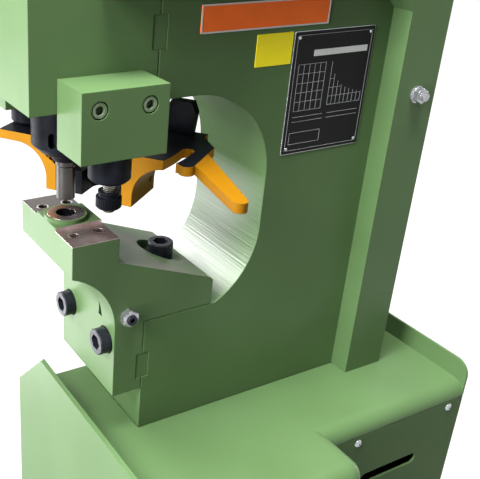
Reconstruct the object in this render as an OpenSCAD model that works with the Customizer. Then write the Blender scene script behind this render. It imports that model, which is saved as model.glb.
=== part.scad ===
// Hydraulic hole punch: a C-frame press head standing in a sheet-metal cabinet with its power pack.
// Millimetres. +X is the side with the hose duct, +Y runs from front to rear, +Z is up.
// The origin is on the floor, at the centre of the four anchor holes.

/* [Layout] */
// Height of the die's top face above the floor
die_z = 960; // [920:5:1000]
// How far the punch axis stands in front of the anchor centre
punch_ahead = 250; // [240:1:260]

/* [C-frame] */
// Thickness of the frame plate, also the width of the cylinder block and die holder
frame_t = 130; // [126:1:136]
// Depth of the frame from its joint face to its rear edge
frame_depth = 363; // [350:1:380]
// Distance of the joint face behind the punch axis
joint_y = 66; // [64:0.5:70]
// Height of the frame's top above the die
frame_rise = 355; // [350:1:370]
// Depth of the frame's foot below the die
frame_sink = 333; // [325:1:345]
// Height of the throat's ceiling above the die
throat_top = 133.5; // [132:0.5:140]
// Distance of the throat's back wall behind the punch axis
throat_back = 214; // [205:1:220]
// Radius of the throat's corners
throat_r = 100; // [80:1:104]
// Depth of the lower corner's lowest point below the die
throat_low = 130; // [125:1:135]
// Depth of the lower jaw's seat below the die
jaw_drop = 118.5; // [116:0.5:122]

/* [Cylinder] */
// Distance of the block's front face ahead of the punch axis
block_front = 67.5; // [65:0.5:75]
// Height of the block's underside above the die
block_low = 132.6; // [130:0.2:136]
// Cylinder bore
bore_d = 105; // [95:1:110]
// Rod diameter
rod_d = 60; // [54:1:66]
// Outer diameter of the rod's guide bush
guide_d = 88; // [84:1:94]
// Height of the guide bush
guide_h = 34; // [30:1:40]
// Height of the lip that carries the guide bush
guide_lip = 9.4; // [7:0.2:12]
// Height of the rod seal
seal_h = 6; // [4:0.5:8]
// Thickness of the piston
piston_h = 30; // [26:1:34]
// Oil space above the piston at rest
head_space = 14; // [12:1:18]
// Depth of the cover's spigot in the bore
spigot_h = 19; // [14:1:24]
// Thickness of the cover, which also ties the block to the frame
cover_t = 25; // [20:1:30]
// How far the cover reaches back over the frame
cover_reach = 80; // [70:1:95]
// Working stroke
stroke = 22; // [16:1:26]

/* [Punch and die] */
// Outer diameter of the nut that holds the punch
nut_d = 72; // [66:1:76]
// Gap between that nut and the block at rest
nut_gap = 1.1; // [0.5:0.1:3]
// Height of the nut's straight part
nut_straight = 51.5; // [46:0.5:54]
// Height of the nut's nose
nut_nose = 19; // [16:0.5:24]
// Diameter of the threaded spigot under the rod
spigot_d = 48; // [40:1:50]
// Length of that spigot
spigot_l = 38; // [34:1:42]
// Diameter of the punch
punch_d = 20; // [14:0.5:21]
// Diameter of the punch's head
punch_head_d = 34; // [30:1:38]
// Height of the punch's head
punch_head_h = 10; // [8:0.5:12]
// Gap from the punch's tip to the die at rest
punch_gap = 18.3; // [16:0.1:21]
// Clearance across the die's hole
die_clear = 1; // [0.4:0.1:2]
// Outer diameter of the die
die_d = 40; // [36:1:44]
// Height of the die
die_h = 28; // [22:1:30]

/* [Die holder] */
// Width of the raised middle of the nose
mid_w = 48; // [46:1:52]
// Depth of the raised middle's top below the die's top
mid_drop = 4.5; // [3:0.5:5]
// Outer diameter of the raised collar round the die
collar_d = 46; // [45:0.5:48]
// Depth of the bare pads below the die's top
pad_drop = 8; // [6:0.5:10]
// Distance of the nose's front face ahead of the punch axis
nose_front = 23; // [23:0.5:26]
// Distance of the nose's rear face behind the punch axis
nose_rear = 31; // [30:0.5:34]
// Depth of the nose's rear face below the die
nose_heel = 39; // [34:1:42]
// Distance of the lower front face behind the punch axis
body_front = 29; // [27:0.5:31]
// Radius of the cove under the nose
cove_r = 78; // [74:1:78]
// Depth of the holder's lower edge below the die
body_drop = 208; // [203:1:214]
// Distance of the holder's rear end behind the punch axis
tail_y = 155; // [152:1:158]
// Depth of the sloping top at the rear end below the die
tail_drop = 83; // [80:1:88]
// Width of the two keys across the joint
key_w = 16; // [14:1:20]
// Height of the two keys
key_h = 33; // [28:1:34]
// Depth of the lower key's middle below the die
low_key_drop = 177; // [174:1:180]
// Height of the upper key's middle above the die
high_key_rise = 199.5; // [195:0.5:206]
// Front screws: thread diameter
front_screw_d = 20; // [16:1:20]
// Front screws: spacing
front_screw_gap = 90; // [80:1:92]
// Front screws: depth of the counterbore for their heads
front_screw_sunk = 7; // [4:0.5:9]
// Front screws: depth below the die
front_screw_drop = 143; // [141:1:146]
// Top screw: thread diameter
top_screw_d = 20; // [16:1:20]
// Top screw: distance behind the punch axis
top_screw_y = 123; // [118:1:126]
// Top screw: depth of its seat below the die
top_screw_drop = 80; // [78:1:84]
// Diameter of the pocket round the top screw
pocket_d = 56; // [50:1:58]
// Spacing of the two tapped holes in each pad, along Y
pad_hole_gap = 29; // [26:1:32]
// Distance of the pad holes from the middle
pad_hole_x = 40; // [39:1:46]
// Tapped holes in the pads: wall diameter
pad_hole_d = 10.2; // [8:0.2:12]
// Depth of those holes
pad_hole_h = 22; // [16:1:26]
// Alignment screws at the holder's sides: thread diameter
align_d = 12; // [10:1:12]
// Alignment screws: distance behind the punch axis
align_y = 44.5; // [43:0.5:53]
// Alignment screws: depth below the die
align_drop = 105.5; // [104:0.5:110]

/* [Stripper] */
// Distance of the stripper's two columns from the punch axis
col_x = 95; // [93:0.5:96]
// Diameter of the columns
col_d = 41; // [36:1:42]
// Height of the columns' lower faces above the die
col_low = 73.6; // [73:0.2:76]
// Diameter of the pivot pin
pin_d = 20; // [16:1:22]
// Diameter of the clamping stud
stud_d = 12; // [10:1:12]
// Thickness of the stripper's plate
plate_t = 10; // [9:0.1:11]
// Clear width of the fork
fork_gap = 78; // [76:1:80]
// Thickness of each leg
leg_w = 12; // [10:1:14]
// Height of the legs' feet above the die
foot_z = 15; // [12:1:17]
// Radius of the gussets beside the legs
gusset_r = 36; // [30:1:36]
// Distance of the fork's front faces ahead of the punch axis
fork_front = 40; // [36:1:42]
// Distance of the plate's rear edge behind the punch axis
plate_rear = 62; // [60:1:66]
// Width of the slot that hooks over the stud
slot_w = 13.2; // [12.6:0.2:14]
// Angle by which the stripper stands swung open
open_angle = 36; // [34:0.5:38]
// Height of the stop block on the plate
stop_h = 36; // [30:1:38]
// Length of the stop block along the plate
stop_l = 34; // [30:1:36]
// Height of the black insert's underside above the die
insert_low = 9; // [8:0.5:11]
// Height of the black insert between the legs
insert_h = 27; // [22:1:27]
// Width of the insert's slot
insert_slot = 31; // [29:1:34]
// Size of the brackets away from the block
bracket_w = 50; // [48:1:54]
// Height of the near bracket
bracket_h = 66.5; // [60:0.5:72]
// Height of the far bracket
far_bracket_h = 160; // [140:1:180]
// Depth of both brackets, front to rear
bracket_depth = 89; // [86:1:90]
// Height of the brackets' undersides above the die
bracket_low = 99; // [97:0.5:102]
// Diameter of the knurled nut
knurl_d = 25; // [24:0.5:28]
// Height of the knurled nut
knurl_h = 15; // [14:0.5:19]

/* [Cabinet] */
// Depth of the table's top below the die
table_drop = 265; // [255:1:270]
// Distance of the cabinet's far side from the middle
cab_far = 145; // [143:1:150]
// Distance of the cabinet's near side from the middle
cab_near = 180; // [178:1:190]
// Room in the cabinet behind the frame's rear edge
cab_behind = 68; // [60:1:90]
// Sheet thickness
sheet = 3; // [2:0.5:4]
// Distance of the table's far edge from the middle
table_far = 73; // [71:1:75]
// Height of the front and rear upstands above the table
upstand = 28.5; // [26:0.5:32]
// Bend radius of the table's rounded edges
bend_r = 20; // [16:1:20]
// How far the wing of the table stands out past the near side
wing_out = 60; // [50:1:65]
// Length of the wing from the front
wing_l = 267; // [255:1:280]
// Length of the finger slot in the near panel
finger_l = 98; // [90:1:110]
// Height of the finger slot
finger_h = 16; // [14:1:20]
// Thickness of the base plate
base_t = 10; // [8:1:14]
// Anchor hole diameter
anchor_d = 18; // [14:1:20]
// Anchor hole spacing across
anchor_x = 240; // [220:5:250]
// Anchor hole spacing front to rear
anchor_y = 400; // [380:5:410]
// Side of the square posts and rails that carry the frame
post_w = 50; // [40:1:54]
// Height of the rails
rail_h = 60; // [50:1:70]

/* [Hose duct] */
// Width of the duct, front to rear
duct_w = 61; // [58:1:66]
// How far the duct stands out from the frame
duct_out = 27; // [26:1:32]
// Distance of the duct's rear edge from the frame's rear edge
duct_inset = 1; // [0:0.5:4]
// Diameter of the oil tubes
tube_d = 12; // [10:0.5:12]
// Height of the duct's fixing stud above the die
duct_stud_z = 111.5; // [100:0.5:120]

/* [Power pack] */
// Height of the oil tank
tank_h = 220; // [200:1:240]
// Motor diameter
motor_d = 140; // [130:1:144]
// Motor length
motor_l = 230; // [210:1:240]
// Height of the bell housing between motor and tank
bell_h = 62; // [58:1:70]
// Length of the pump below the lid
pump_l = 110; // [90:1:130]

/* [Clearances] */
// Radial running clearance
run = 0.05; // [0.02:0.01:0.08]
// Gap between pieces that move past each other
gap = 0.6; // [0.4:0.1:0.8]
// Clearance across screw holes
screw_clear = 1; // [0.6:0.1:1.6]

/* [Hidden] */
$fn = 64;

green = [0.46, 0.62, 0.42];
steel = [0.62, 0.62, 0.63];
black = [0.10, 0.10, 0.11];
yellow = [0.95, 0.66, 0.10];
zinc = [0.78, 0.79, 0.80];
eps = 0.01;
half_t = frame_t / 2;
rear_y = joint_y + frame_depth;
thread_slack = 0.2;

// Cylinder heights above the die
block_top = frame_rise;
guide_low = block_low + guide_lip;
bore_low = guide_low + guide_h;
spigot_low = block_top - spigot_h;
piston_top = spigot_low - head_space;
piston_low = piston_top - piston_h;
nut_top = block_low - nut_gap;
nut_knee = nut_top - nut_straight;
nut_low = nut_knee - nut_nose;
rod_shoulder = nut_top + nut_gap / 2;
rod_low = rod_shoulder - spigot_l;
head_low = rod_low - punch_head_h;
cone_h = (punch_head_d - punch_d) / 2;
nut_hole_d = punch_d + 3;
port_d = 6;
cap_port_z = spigot_low - head_space / 2;
rod_port_z = piston_low - stroke - 2 * port_d;
port_y = 30;

// Die holder
slope_y = nose_rear + 9;
slope_z = -nose_heel - 1.5;
slope_fall = (tail_drop + slope_z) / (tail_y - slope_y);
cove_y = body_front - cove_r;
cove_z = -jaw_drop;
slug_d = die_d - 12;
nut_af = align_d * 1.5;
nut_h = align_d * 0.8;

// Stripper heights above the die
plate_top = col_low - gap;
plate_low = plate_top - plate_t;
washer_h = 2;
washer_top = plate_low - gap;
leg_out = fork_gap / 2 + leg_w;
plate_far = col_x + 15;
plate_near = col_x + 21;
prong_front = fork_front + 5;
bracket_front = 40;
stop_y = bracket_depth - bracket_front + gap;
stop_in = 12;
relief_r = nut_d / 2 + 2.5;
pivot_nut_d = 24;
pivot_nut_h = 10;
lever_end = [plate_near + 66, -fork_front - 57];
lever_w = 15;
thread_pitch = 1.75;

// Cabinet heights above the floor and places across it
table_z = die_z - table_drop;
cab_depth = rear_y + cab_behind;
cab_y0 = -punch_ahead;
cab_y1 = cab_y0 + cab_depth;
frame_foot_z = die_z - frame_sink;
rail_front_in = 34;
rail_rear_in = 109;
front_rail_y = joint_y - punch_ahead + rail_front_in;
rear_rail_y = rear_y - punch_ahead - rail_rear_in - post_w;
rail_room = 15;
rail_far = cab_far - rail_room;
rail_near = cab_near - sheet;
finger_y = rear_y - punch_ahead - finger_l - 1;
finger_z = table_z - 97;
panel_screw_in = 11;
panel_screw_z = table_z - bend_r - panel_screw_in;
panel_foot = 30;
panel_screw_d = 6;

// Hose duct and tubes, in the die's frame
duct_rear = rear_y - duct_inset;
duct_front = duct_rear - duct_w;
duct_knee_z = 206;
duct_leg_low = 242;
duct_leg_h = 100;
duct_leg_front = 2;
tube_x = half_t + duct_out / 2;
tube_r = 2.5 * tube_d;
retract_y = duct_front + 18;
advance_y = retract_y + 25;
fitting_w = 18;

// Power pack above the floor
tank_far = 75;
tank_near = 122;
tank_len = 380;
lid_z = base_t + tank_h;
lid_t = 8;
pack_y = 40;
pack_x = -5;
shaft_d = 24;
bell_z = lid_z + lid_t;
motor_z = bell_z + bell_h;
valve_in = 40;
valve_y = -tank_len / 2 + valve_in;
valve_w = 70;
valve_h = 70;
retract_low_z = bell_z + 52;
advance_low_z = bell_z + 24;

// Places what follows in the die's frame: origin on the punch axis at the die's top
module at_die() translate([0, -punch_ahead, die_z]) children();

// Box given by its lowest and highest corners
module span(a, b) translate(a) cube(b - a);

// Round bar along X, Y or Z from a point
module bar_x(p, d, l) translate(p) rotate([0, 90, 0]) cylinder(d = d, h = l);
module bar_y(p, d, l) translate(p) rotate([-90, 0, 0]) cylinder(d = d, h = l);
module bar_z(p, d, l) translate(p) cylinder(d = d, h = l);

// Plain ring
module ring(d_out, d_in, h) difference() {
    cylinder(d = d_out, h = h);
    translate([0, 0, -1]) cylinder(d = d_in, h = h + 2);
}

// Socket cap screw along Z: the seat is at zero, the head above it
module cap_screw(d, l) {
    head_d = 1.5 * d;
    difference() {
        union() {
            cylinder(d = head_d, h = d);
            translate([0, 0, -l]) cylinder(d = d - thread_slack, h = l + eps);
        }
        translate([0, 0, d / 2]) cylinder(d = 0.92 * d, h = d, $fn = 6);
        translate([0, 0, d]) rotate_extrude() translate([head_d / 2, 0]) circle(r = d / 20, $fn = 24);
    }
}

// Button-head screw along Z: the seat is at zero, the domed head above it
module button_screw(d, l) {
    head_h = 0.55 * d;
    difference() {
        union() {
            translate([0, 0, -l]) cylinder(d = d - thread_slack, h = l + eps);
            intersection() {
                translate([0, 0, head_h - d]) sphere(r = d);
                cylinder(d = 2 * d, h = head_h);
            }
        }
        translate([0, 0, head_h / 2]) cylinder(d = 0.66 * d, h = head_h, $fn = 6);
    }
}

// Screw hole along Z: a clearance hole below zero and room for the head above it
module screw_seat(d, l, room) {
    translate([0, 0, -l]) cylinder(d = d + screw_clear, h = l + 1);
    cylinder(d = 1.5 * d + 2 * screw_clear, h = room);
}

// The throat's cut: straight mouth, round upper and lower corners, straight back wall
module throat() {
    arc_y = throat_back - throat_r;
    high = throat_top - throat_r;
    low = throat_r - throat_low;
    wide = half_t + 1;
    span([-wide, joint_y - 1, -jaw_drop], [wide, arc_y, throat_top]);
    span([-wide, arc_y - 1, low], [wide, throat_back, high]);
    bar_x([-wide, arc_y, high], 2 * throat_r, 2 * wide);
    intersection() {
        bar_x([-wide, arc_y, low], 2 * throat_r, 2 * wide);
        span([-wide, joint_y - 1, -jaw_drop], [wide, throat_back + 1, high]);
    }
}

// Key seat across the joint, in the frame and in the piece in front of it
module key_seat(z) translate([-half_t - 1, joint_y - key_w / 2, z - key_h / 2])
    cube([frame_t + 2, key_w, key_h]);

// Key, a little short of the sides
key_short = 0.6;
module key_bar(z) translate([-half_t + key_short, joint_y - key_w / 2, z - key_h / 2])
    cube([frame_t - 2 * key_short, key_w, key_h]);

// Small V along the outer edges of the joints between frame, block and holder
seam = 1.3;
module joint_seams() for (x = [-half_t, half_t]) {
    translate([x, joint_y, block_low - 1]) rotate([0, 0, 45]) translate([-seam / 2, -seam / 2, 0])
        cube([seam, seam, block_top - block_low + 2]);
    translate([x, joint_y, -body_drop]) rotate([0, 0, 45]) translate([-seam / 2, -seam / 2, 0])
        cube([seam, seam, body_drop - jaw_drop]);
    translate([x, joint_y, -jaw_drop]) rotate([0, 45, 0]) translate([-seam / 2, 0, -seam / 2])
        cube([seam, tail_y - joint_y, seam]);
}

// Cover screws: four over the block's corners and two over the frame
cover_screw_d = 14;
cover_screw_l = 60;
function cover_screw_places() = concat(
    [for (x = [-1, 1], y = [-block_front + 16, joint_y - 16]) [x * (half_t - 15), y]],
    [for (x = [-1, 1]) [x * (half_t - 25), joint_y + cover_reach / 2]]);

// Screws in the front of the holder
front_screw_l = 80;
module at_front_screws() for (x = [-1, 1])
    translate([x * front_screw_gap / 2, body_front + front_screw_sunk, -front_screw_drop])
    rotate([90, 0, 0]) children();

top_screw_l = 80;
module at_top_screw() translate([0, top_screw_y, -top_screw_drop]) children();

// Anchor screws that hold the frame's foot to the rails, from below
frame_bolt_d = 16;
frame_bolt_l = 100;
module at_frame_bolts() for (x = [-1, 1], y = [front_rail_y, rear_rail_y])
    translate([x * half_t / 2, y + post_w / 2, frame_foot_z - rail_h]) rotate([180, 0, 0]) children();

module c_frame() color(green) difference() {
    at_die() difference() {
        span([-half_t, joint_y, -frame_sink], [half_t, rear_y, frame_rise]);
        throat();
        key_seat(-low_key_drop);
        key_seat(high_key_rise);
        joint_seams();
        at_front_screws() bar_z([0, 0, -front_screw_l - 5], front_screw_d, front_screw_l + 5);
        at_top_screw() bar_z([0, 0, -top_screw_l - 5], top_screw_d, top_screw_l + 5);
        for (p = cover_screw_places()) translate([p[0], p[1], block_top])
            bar_z([0, 0, -cover_screw_l - 5], cover_screw_d, cover_screw_l + 6);
        bar_x([half_t - 25, duct_front + duct_w / 2, duct_stud_z], 10, 26);
    }
    at_frame_bolts() bar_z([0, 0, -frame_bolt_l - 5], frame_bolt_d, frame_bolt_l + 6);
}

module bracket_screw_holes(side, z, rows) for (y = [-22, 29], k = [0 : rows - 1])
    translate([side * (half_t + bracket_w), y, z + k * 80]) rotate([0, side * 90, 0]) children();

bracket_screw_d = 10;
bracket_screw_sunk = 10.4;
bracket_screw_l = 48;
near_screw_z = bracket_low + 49;
far_screw_z = near_screw_z;

module cylinder_block() color(green) at_die() difference() {
    span([-half_t, -block_front, block_low], [half_t, joint_y, block_top]);
    key_seat(high_key_rise);
    joint_seams();
    bar_z([0, 0, block_low - 1], nut_d + 4, guide_lip + 2);
    bar_z([0, 0, guide_low], guide_d, guide_h + 1);
    bar_z([0, 0, bore_low], bore_d, block_top - bore_low + 1);
    for (p = cover_screw_places()) translate([p[0], p[1], block_top])
        bar_z([0, 0, -cover_screw_l - 5], cover_screw_d, cover_screw_l + 6);
    for (z = [cap_port_z, rod_port_z]) bar_x([0, port_y, z], port_d, half_t + 1);
    for (side = [-1, 1]) bracket_screw_holes(side, side > 0 ? near_screw_z : far_screw_z, side > 0 ? 1 : 2)
        bar_z([0, 0, -bracket_screw_sunk - bracket_screw_l - 2], bracket_screw_d, bracket_screw_l + 2);
}

module cylinder_key() color(steel) at_die() key_bar(high_key_rise);

module cylinder_cover() color(green) at_die() difference() {
    union() {
        span([-half_t, -block_front, block_top], [half_t, joint_y + cover_reach, block_top + cover_t]);
        bar_z([0, 0, spigot_low], bore_d - 2 * run, spigot_h + 1);
    }
    for (p = cover_screw_places()) translate([p[0], p[1], block_top + cover_t - cover_screw_d])
        screw_seat(cover_screw_d, cover_t, cover_screw_d + 1);
}

module cover_screws() color(black) at_die() for (p = cover_screw_places())
    translate([p[0], p[1], block_top + cover_t - cover_screw_d]) cap_screw(cover_screw_d, cover_screw_l);

seal_low = guide_low + guide_h - 2 * seal_h;
seal_d = rod_d + 12;

module rod_guide() color([0.72, 0.56, 0.30]) at_die() translate([0, 0, guide_low]) difference() {
    ring(guide_d, rod_d + 2 * run, guide_h);
    translate([0, 0, seal_low - guide_low]) ring(seal_d, rod_d - 2, seal_h);
}

module rod_seal() color(black) at_die() translate([0, 0, seal_low]) ring(seal_d, rod_d + 2 * run, seal_h);

// Piston and rod in one piece, with the seal's groove and the threaded spigot for the nut
groove_d = bore_d - 14;
groove_h = 9;
groove_low = piston_low + (piston_h - groove_h) / 2;
module piston_rod() color(steel) at_die() difference() {
    union() {
        bar_z([0, 0, piston_low], bore_d - 2 * run, piston_h);
        bar_z([0, 0, rod_shoulder], rod_d, piston_low - rod_shoulder + 1);
        bar_z([0, 0, rod_low], spigot_d, spigot_l + 1);
    }
    translate([0, 0, groove_low]) ring(bore_d + 2, groove_d, groove_h);
}

module piston_seal() color(black) at_die() translate([0, 0, groove_low])
    ring(bore_d - 2 * run, groove_d, groove_h);

// Nut that holds the punch: straight body, chamfered and coned nose, spanner slots round it
slot_h = 16;
spanner_w = 8;
module punch_nut() color(black) at_die() difference() {
    rotate_extrude() polygon([[spigot_d / 2, rod_low], [spigot_d / 2, nut_top], [nut_d / 2 - 1.5, nut_top],
        [nut_d / 2, nut_top - 1.5], [nut_d / 2, nut_knee], [0.76 * nut_d / 2, nut_knee - 0.43 * nut_nose],
        [0.47 * nut_d / 2, nut_knee - 0.74 * nut_nose], [nut_hole_d / 2 + 2, nut_low],
        [nut_hole_d / 2, nut_low], [nut_hole_d / 2, head_low - cone_h],
        [punch_head_d / 2 + run, head_low - run], [punch_head_d / 2 + run, rod_low]]);
    for (a = [-48 : 90 : 222]) rotate([0, 0, a]) translate([0, 0, nut_knee + 3]) {
        span([nut_d / 2 - 7, -spanner_w / 2, spanner_w / 2],
            [nut_d / 2 + 1, spanner_w / 2, slot_h - spanner_w / 2]);
        for (z = [spanner_w / 2, slot_h - spanner_w / 2]) bar_x([nut_d / 2 - 7, 0, z], spanner_w, 8);
    }
}

module punch() color([0.35, 0.34, 0.34]) at_die() rotate_extrude() polygon([[0, punch_gap],
    [punch_d / 2, punch_gap], [punch_d / 2, nut_low - 7], [punch_d / 2 + 1, nut_low - 5],
    [punch_d / 2 + 1, head_low - cone_h],
    [punch_head_d / 2, head_low], [punch_head_d / 2, rod_low], [0, rod_low]]);

module die() color([0.60, 0.50, 0.44]) at_die() translate([0, 0, -die_h]) difference() {
    ring(die_d, punch_d + die_clear, die_h);
    hole_d = punch_d + die_clear;
    translate([0, 0, -1]) cylinder(d1 = hole_d + 4, d2 = hole_d + 1, h = die_h - 7);
}

// Side outline of the die holder, Y across and Z up, with the cove cut out later
module holder_outline() polygon([[-nose_front, -pad_drop], [nose_rear, -pad_drop], [nose_rear, -nose_heel],
    [slope_y, slope_z], [tail_y - 3, -tail_drop], [tail_y, -tail_drop - 3], [tail_y, -jaw_drop],
    [joint_y, -jaw_drop], [joint_y, -body_drop], [body_front, -body_drop], [body_front, cove_z],
    [-nose_front, cove_z]]);

module die_holder() color(green) at_die() difference() {
    union() {
        translate([-half_t, 0, 0]) rotate([90, 0, 90]) linear_extrude(frame_t) holder_outline();
        span([-mid_w / 2, -nose_front, -pad_drop - 1], [mid_w / 2, nose_rear, -mid_drop]);
        bar_z([0, 0, -pad_drop], collar_d, pad_drop - 0.3);
    }
    bar_x([-half_t - 1, cove_y, cove_z], 2 * cove_r, frame_t + 2);
    bar_z([0, 0, -die_h], die_d + 2 * run, die_h + 1);
    bar_z([0, 0, -jaw_drop], slug_d, jaw_drop);
    key_seat(-low_key_drop);
    joint_seams();
    at_front_screws() screw_seat(front_screw_d, front_screw_l, front_screw_sunk + 1);
    at_top_screw() {
        bar_z([0, 0, -top_screw_l], top_screw_d + screw_clear, top_screw_l + 1);
        bar_z([0, 0, 0], pocket_d, top_screw_drop);
    }
    for (side = [-1, 1]) {
        for (k = [-0.5, 0.5]) translate([side * pad_hole_x, 5.5 + k * pad_hole_gap, -pad_drop]) {
            bar_z([0, 0, -pad_hole_h], pad_hole_d, pad_hole_h + 1);
        }
        translate([side * (half_t + 1), align_y, -align_drop]) rotate([0, -side * 90, 0])
            cylinder(d = align_d, h = align_l - nut_h + 2);
    }
}

module holder_key() color(steel) at_die() key_bar(-low_key_drop);
module holder_front_screws() color(black) at_die() at_front_screws() cap_screw(front_screw_d, front_screw_l);
module holder_top_screw() color(black) at_die() at_top_screw() cap_screw(top_screw_d, top_screw_l);

// Set screws with lock nuts at the holder's two sides
align_l = 40;
module at_alignment() for (side = [-1, 1]) translate([side * half_t, align_y, -align_drop])
    rotate([0, side * 90, 0]) children();

module alignment_screws() color(black) at_die() at_alignment() difference() {
    translate([0, 0, nut_h + 2 - align_l]) cylinder(d = align_d - thread_slack, h = align_l);
    translate([0, 0, nut_h - 4]) cylinder(d = align_d / 2, h = 10, $fn = 6);
}

module alignment_nuts() color(zinc) at_die() at_alignment() difference() {
    intersection() {
        cylinder(d = nut_af / cos(30), h = nut_h, $fn = 6);
        translate([0, 0, -nut_af * 0.62]) sphere(r = nut_af * 1.22);
    }
    translate([0, 0, -1]) cylinder(d = align_d, h = nut_h + 2);
}

// Bracket block at one side of the cylinder, bored for its column
module bracket(side, h, z, rows) difference() {
    translate([side > 0 ? half_t : -half_t - bracket_w, -bracket_front, bracket_low])
        cube([bracket_w, bracket_depth, h]);
    bar_z([side * col_x, 0, bracket_low - 1], stud_d * 2, column_root + 1);
    bracket_screw_holes(side, z, rows) translate([0, 0, -bracket_screw_sunk])
        screw_seat(bracket_screw_d, bracket_w, bracket_screw_sunk + 1);
}

column_root = 34;
module near_bracket() color(green) at_die() bracket(1, bracket_h, near_screw_z, 1);
module far_bracket() color(green) at_die() bracket(-1, far_bracket_h, far_screw_z, 2);

module near_bracket_screws() color(black) at_die() bracket_screw_holes(1, near_screw_z, 1)
    translate([0, 0, -bracket_screw_sunk]) cap_screw(bracket_screw_d, bracket_screw_l);

module far_bracket_screws() color(black) at_die() bracket_screw_holes(-1, far_screw_z, 2)
    translate([0, 0, -bracket_screw_sunk]) cap_screw(bracket_screw_d, bracket_screw_l);

// Column under a bracket: a turned housing with a chamfered foot and a root in the bracket
col_chamfer = 3;
module column(bore) rotate_extrude() polygon([[bore / 2, col_low], [col_d / 2 - col_chamfer, col_low],
    [col_d / 2, col_low + col_chamfer], [col_d / 2, bracket_low], [stud_d - run, bracket_low],
    [stud_d - run, bracket_low + column_root - 1], [bore / 2, bracket_low + column_root - 1]]);

module near_column() color(black) at_die() translate([col_x, 0, 0]) column(stud_d);

module clamp_stud() color(steel) at_die() translate([col_x, 0, knurl_low - 4])
    cylinder(d = stud_d - thread_slack, h = bracket_low + column_root - 1 - knurl_low + 4);

knurl_low = washer_top - washer_h - knurl_h;
nut_travel = 2 * thread_pitch;

module clamp_washer() color(black) at_die() translate([col_x, 0, washer_top - washer_h])
    ring(knurl_d - 4, stud_d + 2 * run, washer_h);

// Straight-knurled hand nut with a plain collar above the knurl
knurls = 36;
module knurled_nut() color(black) at_die() translate([col_x, 0, knurl_low]) difference() {
    rotate_extrude() polygon([[stud_d / 2 + run, 0], [knurl_d / 2 - 1.5, 0], [knurl_d / 2, 1.5],
        [knurl_d / 2, knurl_h - 4], [knurl_d / 2 - 2.5, knurl_h - 2.5], [knurl_d / 2 - 2.5, knurl_h - gap],
        [stud_d / 2 + run, knurl_h - gap]]);
    for (i = [0 : knurls - 1]) rotate([0, 0, 360 * i / knurls]) translate([knurl_d / 2 + 0.3, 0, 1.5])
        rotate([0, 0, 45]) translate([-0.6, -0.6, 0]) cube([1.2, 1.2, knurl_h - 6]);
}

module pivot_column() color(black) at_die() translate([-col_x, 0, 0]) {
    column(pin_d - 4);
    translate([0, 0, plate_low - gap - pivot_nut_h - 2])
        cylinder(d = pin_d, h = col_low - plate_low + gap + pivot_nut_h + 2 + eps);
    translate([0, 0, col_low]) cylinder(d = pin_d - 4 + eps, h = bracket_low + column_root - 1 - col_low);
}

module pivot_nut() color(black) at_die() translate([-col_x, 0, plate_low - gap - pivot_nut_h])
    ring(pivot_nut_d, pin_d, pivot_nut_h);

// Turns the closed stripper about its pivot to the swung-open place
module swung() translate([-col_x, 0, 0]) rotate([0, 0, open_angle]) translate([col_x, 0, 0]) children();

// Space that the punch nut needs beside the opened stripper, with its working stroke
module nut_relief() translate([-col_x, 0, 0]) rotate([0, 0, -open_angle]) translate([col_x, 0, 0])
    rotate_extrude() polygon([[0, foot_z - 1], [punch_d / 2 + 3, foot_z - 1],
        [punch_d / 2 + 3, nut_low - stroke - 4], [relief_r, nut_knee - stroke - 4],
        [relief_r, plate_top + 1], [0, plate_top + 1]]);

// Outline of the plate, closed: far end, slotted near end with its outer prong, tail that carries the stop
module plate_outline() difference() {
    polygon([[-plate_far, -fork_front], [plate_near - 8, -fork_front], [plate_near - 8, -prong_front + 8],
        [plate_near, -prong_front + 8], [plate_near, 23], [col_x, plate_rear - 12], [col_x, plate_rear],
        [-leg_out, plate_rear], [-plate_far, 26]]);
    translate([-fork_gap / 2, -prong_front]) square([fork_gap, prong_front]);
    circle(d = fork_gap);
}

// One leg with its gusset, drawn for the near side in X and Z
module leg_outline() difference() {
    translate([fork_gap / 2, foot_z]) square([leg_w + gusset_r, plate_low + 1 - foot_z]);
    translate([leg_out + gusset_r, plate_low - gusset_r]) circle(r = gusset_r);
    translate([leg_out, foot_z - 1]) square([gusset_r + 1, plate_low - gusset_r - foot_z + 1]);
}

module leg(side) translate([0, -fork_front, 0]) mirror([side > 0 ? 0 : 1, 0, 0])
    translate([0, leg_depth, 0]) rotate([90, 0, 0]) linear_extrude(leg_depth) leg_outline();

leg_depth = 60;
module stripper_fork() color(yellow) at_die() swung() difference() {
    union() {
        translate([0, 0, plate_low]) linear_extrude(plate_t) plate_outline();
        for (side = [-1, 1]) leg(side);
        translate([plate_near - 8, -prong_front + 8, plate_low]) cylinder(r = 8, h = plate_t);
    }
    bar_z([0, 0, foot_z - 1], fork_gap, plate_low + plate_t);
    bar_z([col_x, 0, foot_z - 1], slot_w, plate_top);
    // slot curved about the pivot, open to the front
    intersection() {
        translate([-col_x, 0, plate_low - 1]) ring(4 * col_x + slot_w, 4 * col_x - slot_w, plate_t + 2);
        span([0, -prong_front - 1, plate_low - 2], [plate_near + 1, 0, plate_top + 2]);
    }
    bar_z([-col_x, 0, foot_z - 1], pin_d + 2 * run, plate_top);
    translate([-col_x, 0, foot_z - 1]) cylinder(d = pivot_nut_d + 4, h = plate_low - foot_z + 1);
    translate([col_x, 0, foot_z - 1]) cylinder(d = knurl_d + 4, h = plate_low - foot_z + 1);
    nut_relief();
    at_insert_screws() bar_z([0, 0, fork_gap / 2 - 2], insert_screw_d, leg_w + gusset_r);
}

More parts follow.
